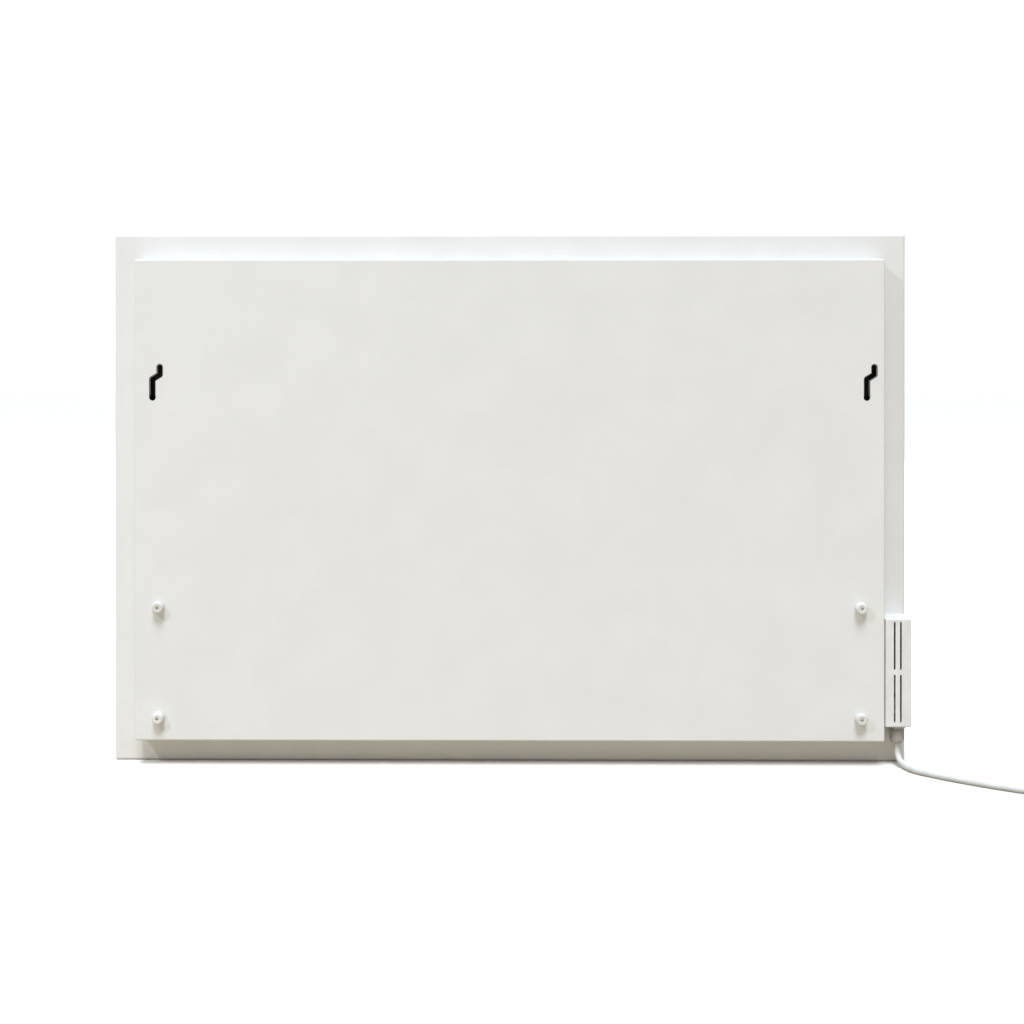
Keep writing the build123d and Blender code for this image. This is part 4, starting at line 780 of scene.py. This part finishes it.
class HEATER_OT_mains_lead(bpy.types.Operator):
    """Lays the mains lead from the gland to its tied coil and its plug"""
    bl_idname = "heater.mains_lead"
    bl_label = "Mains lead"
    STRAP = 0.55  # thickness of the tie
    STRAP_CORNER = 2.6
    SLEEVE, GRIP, HEAD = 4.6, 13.6, 18.8  # the plug's radii: at the lead, in the hand, at the pins
    SLEEVE_RINGS, SLEEVE_PITCH = 6, 3.9
    CLIP_HALF = 4.3  # half the width of the groove for an earth strip
    STRIP_PARTS = 13  # along an earth strip

    def coil_points(self, across, thick, per_turn):
        """The coil's turns: three rings inward on the floor, then outward on top of them."""
        points = []
        for k in range(round(COIL_TURNS * per_turn)):
            turn = k / per_turn
            inward = sum(eased(turn, *step) for step in STEPS_IN)
            outward = sum(eased(turn, *step) for step in STEPS_OUT)
            ring = across / 2 + thick * (1 - inward + outward)
            angle = 2 * math.pi * turn - math.pi / 2
            from_tie = abs(math.remainder(angle - math.pi, 2 * math.pi))
            level = thick * (0.5 + eased(turn, *CLIMB)) + TIE_LIFT * (1 - eased(from_tie, *TIE_RUN))
            points.append((COIL_CENTRE[0] + ring * math.cos(angle),
                           COIL_CENTRE[1] + ring * math.sin(angle), level))
        return points

    def flex(self, sizes, jacket):
        thick = sizes.diameter / MM
        coil = self.coil_points(sizes.turns_across / MM, thick, sizes.points)
        route = [*CORD_ROUTE, *coil, *TAIL_ROUTE]
        curve = bpy.data.curves.new("mains_flex", "CURVE")
        curve.dimensions = "3D"
        curve.bevel_depth = sizes.diameter / 2
        curve.bevel_resolution = 5
        curve.resolution_u = 5
        curve.use_fill_caps = True
        spline = curve.splines.new("NURBS")
        spline.points.add(len(route) - 1)
        for point, place in zip(spline.points, route):
            point.co = (*(c * MM for c in place), 1)
        spline.order_u = 3
        spline.use_endpoint_u = True
        flex = bpy.data.objects.new("mains_flex", curve)
        bpy.context.scene.collection.objects.link(flex)
        flex.data.materials.append(jacket)
        return flex

    def tie(self, material):
        low, high = (Vector(c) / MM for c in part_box("cord_tie"))
        obj = bar("coil_tie_strap", low, (high.x, high.y, high.z + 0.5))
        choose(obj, lambda f: abs(f.normal.y) > 0.9)
        bpy.ops.mesh.delete(type="FACE")
        close(obj)
        reopen(obj)
        choose(obj, lambda e: abs(e.verts[0].co.y - e.verts[1].co.y) > 0.005, "EDGE")
        bpy.ops.mesh.bevel(offset=self.STRAP_CORNER * MM, segments=6, affect="EDGES")
        bpy.ops.object.mode_set(mode="OBJECT")
        modify(obj, "SOLIDIFY", thickness=self.STRAP * MM, offset=-1)
        soften(obj, 0.12 * MM)
        dress([obj], material)
        return obj

    def plug(self, material):
        low, high = (Vector(c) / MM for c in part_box("plug_body"))
        x, z, foot, face = (low.x + high.x) / 2, (low.z + high.z) / 2, low.y, high.y
        outline = [(foot, 3.9), (foot + 0.6, 4.5)]
        for k in range(self.SLEEVE_RINGS):
            a, r = foot + 2.2 + k * self.SLEEVE_PITCH, self.SLEEVE + k * 0.32
            outline += [(a, r), (a + 0.25, r - 0.75), (a + 1.15, r - 0.7), (a + 1.4, r + 0.06)]
        outline += [(foot + 26.0, 6.4)] + arc(foot + 26.0, 6.4, foot + 28.2, 11.2, 4, "top")
        outline += [(foot + 30.0, 12.8), (foot + 32.0, self.GRIP), (foot + 42.0, self.GRIP),
                    (foot + 44.2, 14.5), (foot + 46.4, 16.4), (foot + 48.0, self.HEAD),
                    (face - 1.2, self.HEAD)]
        outline += arc(face - 1.2, self.HEAD, face, 17.6)
        outline += [(face, 17.0), (face - 0.4, 16.8), (face - 0.4, 1.0)]
        body = lathe("plug_moulding", (x, 0, z), "Y", outline, 96)
        earth_socket = [(face - 14, 2.6), (face - 0.9, 2.6), (face + 1, 3.4)]
        carve(body, lathe("socket_cutter", (x, 0, z + 10), "Y", earth_socket, 40))
        hollow = [(foot + 29, 16.0), (foot + 33, 19.4), (foot + 43, 19.4), (foot + 46, 16.0)]
        for side in (-1, 1):
            inner, outer = z + side * self.HEAD - side * 1.2, z + side * 20.0
            cutter = bar("clip_cutter", (x - self.CLIP_HALF, face - 13.3, min(inner, outer)),
                         (x + self.CLIP_HALF, face + 1, max(inner, outer)))
            close(cutter)
            carve(body, cutter)
            carve(body, lathe("grip_cutter", (x + side * 31.4, 0, z), "Y", hollow))
        smooth(body, 32)
        dress([body], material)
        return body

    def clips(self, material):
        """Two sprung earth strips, bowed outwards along the plug's top and bottom."""
        low, high = (Vector(c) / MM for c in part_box("plug_earth_clips"))
        made = []
        for name, level, way in (("lower", low.z, 1), ("upper", high.z, -1)):
            start_fresh()
            middle = Vector(((low.x + high.x) / 2, (low.y + high.y) / 2, level + way * 0.55))
            bpy.ops.mesh.primitive_grid_add(x_subdivisions=4, y_subdivisions=self.STRIP_PARTS,
                                            size=1 * MM, location=middle * MM,
                                            scale=(high.x - low.x, high.y - low.y, 1))
            strip = begin(f"plug_earth_strip_{name}")
            for k in range(self.STRIP_PARTS + 1):
                at = low.y + (high.y - low.y) * k / self.STRIP_PARTS
                choose(strip, lambda v: abs(v.co.y / MM - at) < 0.01, "VERT")
                bow = math.sin(math.pi * min(1, k / 11)) ** 2 * 0.55
                bpy.ops.transform.translate(value=(0, 0, -way * bow * MM))
            bpy.ops.object.mode_set(mode="OBJECT")
            modify(strip, "SOLIDIFY", thickness=0.5 * MM, offset=0)
            soften(strip, 0.1 * MM)
            dress([strip], material)
            made.append(strip)
        return made

    def execute(self, context):
        sizes, looks = context.scene.heater_lead, context.scene.heater_finish
        jacket = moulded("lead_jacket", looks.jacket, 0.46, 0.7, 0.02)
        dress(["cord_entry"], jacket)
        nickel = worked_metal("pin_nickel", (0.78, 0.75, 0.68), 0.24, 0.3, (1, 8, 1))
        dress(["plug_pins"], nickel)
        flex = self.flex(sizes, jacket)
        plug = self.plug(moulded("plug_moulding", looks.jacket, 0.44, 0.5, 0.02))
        strap = self.tie(moulded("tie_plastic", (0.05, 0.05, 0.05), 0.42, 0.5, 0.02))
        clips = self.clips(nickel)
        hand_over(flex, "heater", "cord_jacket", "power_cord", "cord_coil", "cord_tail")
        hand_over(plug, "heater", "plug_plastic", "plug_body")
        hand_over(strap, "heater", "tie_plastic", "cord_tie")
        hand_over(clips[0], "heater", "pin_brass", "plug_earth_clips")
        hand_over(clips[1], "heater", "pin_brass")
        return {"FINISHED"}


# The photograph's camera and its light, in metres and degrees.
CAMERA_PLACE, CAMERA_TILT, CAMERA_TURN = (0.0136, -1.6061, 0.4736), 89.86, 0.417
CAMERA_LENS, CAMERA_SENSOR, CAMERA_SHIFT = 49.98, 36, (0.0011, -0.1595)
LIGHT_COLOUR = (0.94, 0.975, 1.02)
OVERHEAD_TRAVEL, OVERHEAD_SPREAD = Vector((0.0, 0.45, -1.0)), 22
KEY_PLACE, KEY_SIZE = Vector((-2.5, -2.1, 2.95)), 0.18
ROOM_PLACE, ROOM_SIZE = Vector((1.6, 3.2, 2.4)), 2.0
LIT_POINT = Vector((0.0, 0.0, 0.3))
PAPER_SEEN, PAPER_BOUNCED = (0.85, 0.846, 0.835), (0.485, 0.415, 0.31)
ROOM_LIT, ROOM_SEEN, ROOM_SEEN_STRENGTH = (0.95, 0.98, 1.0), (1, 1, 1), 1.1


class HEATER_OT_stage(bpy.types.Operator):
    """Sets the pale floor, the soft lights, the room's light and the camera"""
    bl_idname = "heater.stage"
    bl_label = "Stage"

    def paper(self):
        """Paper that the camera sees blown out, while the heater gets a dimmer, warm bounce."""
        f = Finish("studio_paper")
        seen = f.mix(f.noise(900, 1), PAPER_SEEN, shade(PAPER_SEEN, 1.01))
        white = f.node("ShaderNodeBsdfDiffuse", {}, {"Color": seen})
        warm = f.node("ShaderNodeBsdfDiffuse", {}, {"Color": PAPER_BOUNCED})
        ray = f.node("ShaderNodeLightPath", output="Is Camera Ray")
        both = f.node("ShaderNodeMixShader", {}, {0: ray, 1: warm, 2: white})
        f.feed(f.output.inputs["Surface"], both)
        return f.material

    def lamp(self, name, kind, place, travel, strength, **settings):
        start_fresh()
        bpy.ops.object.light_add(type=kind, location=place)
        lamp = bpy.context.object
        lamp.name = name
        lamp.rotation_euler = travel.to_track_quat("-Z", "Y").to_euler()
        lamp.data.energy, lamp.data.color = strength, LIGHT_COLOUR
        for key, value in settings.items():
            setattr(lamp.data, key, value)

    def room(self, scene, ambient):
        """The room's even light, which the camera sees as white."""
        scene.world = bpy.data.worlds.new("studio_room")
        scene.world.use_nodes = True
        nodes = Nodes(scene.world.node_tree)
        ray = nodes.node("ShaderNodeLightPath", output="Is Camera Ray")
        lit = nodes.node("ShaderNodeBackground", {}, {"Color": ROOM_LIT, "Strength": ambient})
        seen = nodes.node("ShaderNodeBackground", {},
                          {"Color": ROOM_SEEN, "Strength": ROOM_SEEN_STRENGTH})
        both = nodes.node("ShaderNodeMixShader", {}, {0: ray, 1: lit, 2: seen})
        nodes.node("ShaderNodeOutputWorld", {}, {"Surface": both})

    def camera(self, scene):
        lens = bpy.data.cameras.new("photograph_view")
        lens.lens, lens.sensor_width = CAMERA_LENS, CAMERA_SENSOR
        lens.shift_x, lens.shift_y = CAMERA_SHIFT
        camera = bpy.data.objects.new("photograph_view", lens)
        camera.location = CAMERA_PLACE
        camera.rotation_euler = (math.radians(CAMERA_TILT), 0, math.radians(CAMERA_TURN))
        scene.collection.objects.link(camera)
        scene.camera = camera

    def execute(self, context):
        sizes = context.scene.heater_stage
        start_fresh()
        bpy.ops.mesh.primitive_grid_add(x_subdivisions=8, y_subdivisions=8, size=sizes.floor,
                                        location=(0, 0, 0))
        floor = begin("studio_floor")
        close(floor)
        dress([floor], self.paper())
        self.lamp("overhead_light", "SUN", OVERHEAD_TRAVEL * -2, OVERHEAD_TRAVEL, sizes.overhead,
                  angle=math.radians(OVERHEAD_SPREAD))
        for name, place, size, watts in (("key_lamp", KEY_PLACE, KEY_SIZE, sizes.key),
                                         ("room_softbox", ROOM_PLACE, ROOM_SIZE, sizes.room)):
            self.lamp(name, "AREA", place, LIT_POINT - place, watts, shape="SQUARE", size=size)
        self.room(context.scene, sizes.ambient)
        self.camera(context.scene)
        context.scene.view_settings.view_transform = "Standard"
        return {"FINISHED"}


STEPS = (HEATER_OT_sheet_metal, HEATER_OT_inner_parts, HEATER_OT_bumpers, HEATER_OT_control_box,
         HEATER_OT_controls, HEATER_OT_gland, HEATER_OT_mains_lead, HEATER_OT_stage)
SETTINGS = {"heater_finish": HeaterFinishSettings, "heater_bumpers": HeaterBumperSettings,
            "heater_lead": HeaterLeadSettings, "heater_stage": HeaterStageSettings}


class HEATER_PT_panel(bpy.types.Panel):
    """The heater's pieces, in the order they are made"""
    bl_idname = "HEATER_PT_panel"
    bl_label = "Infrared Panel Heater"
    bl_space_type = "VIEW_3D"
    bl_region_type = "UI"
    bl_category = "Heater"

    def draw(self, context):
        for name, group in SETTINGS.items():
            box = self.layout.box()
            for key in group.__annotations__:
                box.prop(getattr(context.scene, name), key)
        for step in STEPS:
            self.layout.operator(step.bl_idname)


def register():
    for group in (*SETTINGS.values(), *STEPS, HEATER_PT_panel):
        bpy.utils.register_class(group)
    for name, group in SETTINGS.items():
        setattr(bpy.types.Scene, name, PointerProperty(type=group))


def unregister():
    for name in SETTINGS:
        delattr(bpy.types.Scene, name)
    for group in (HEATER_PT_panel, *reversed(STEPS), *SETTINGS.values()):
        bpy.utils.unregister_class(group)


def main():
    register()
    for step in STEPS:
        group, name = step.bl_idname.split(".")
        getattr(getattr(bpy.ops, group), name)()
    start_fresh()


if __name__ == "__main__":
    main()
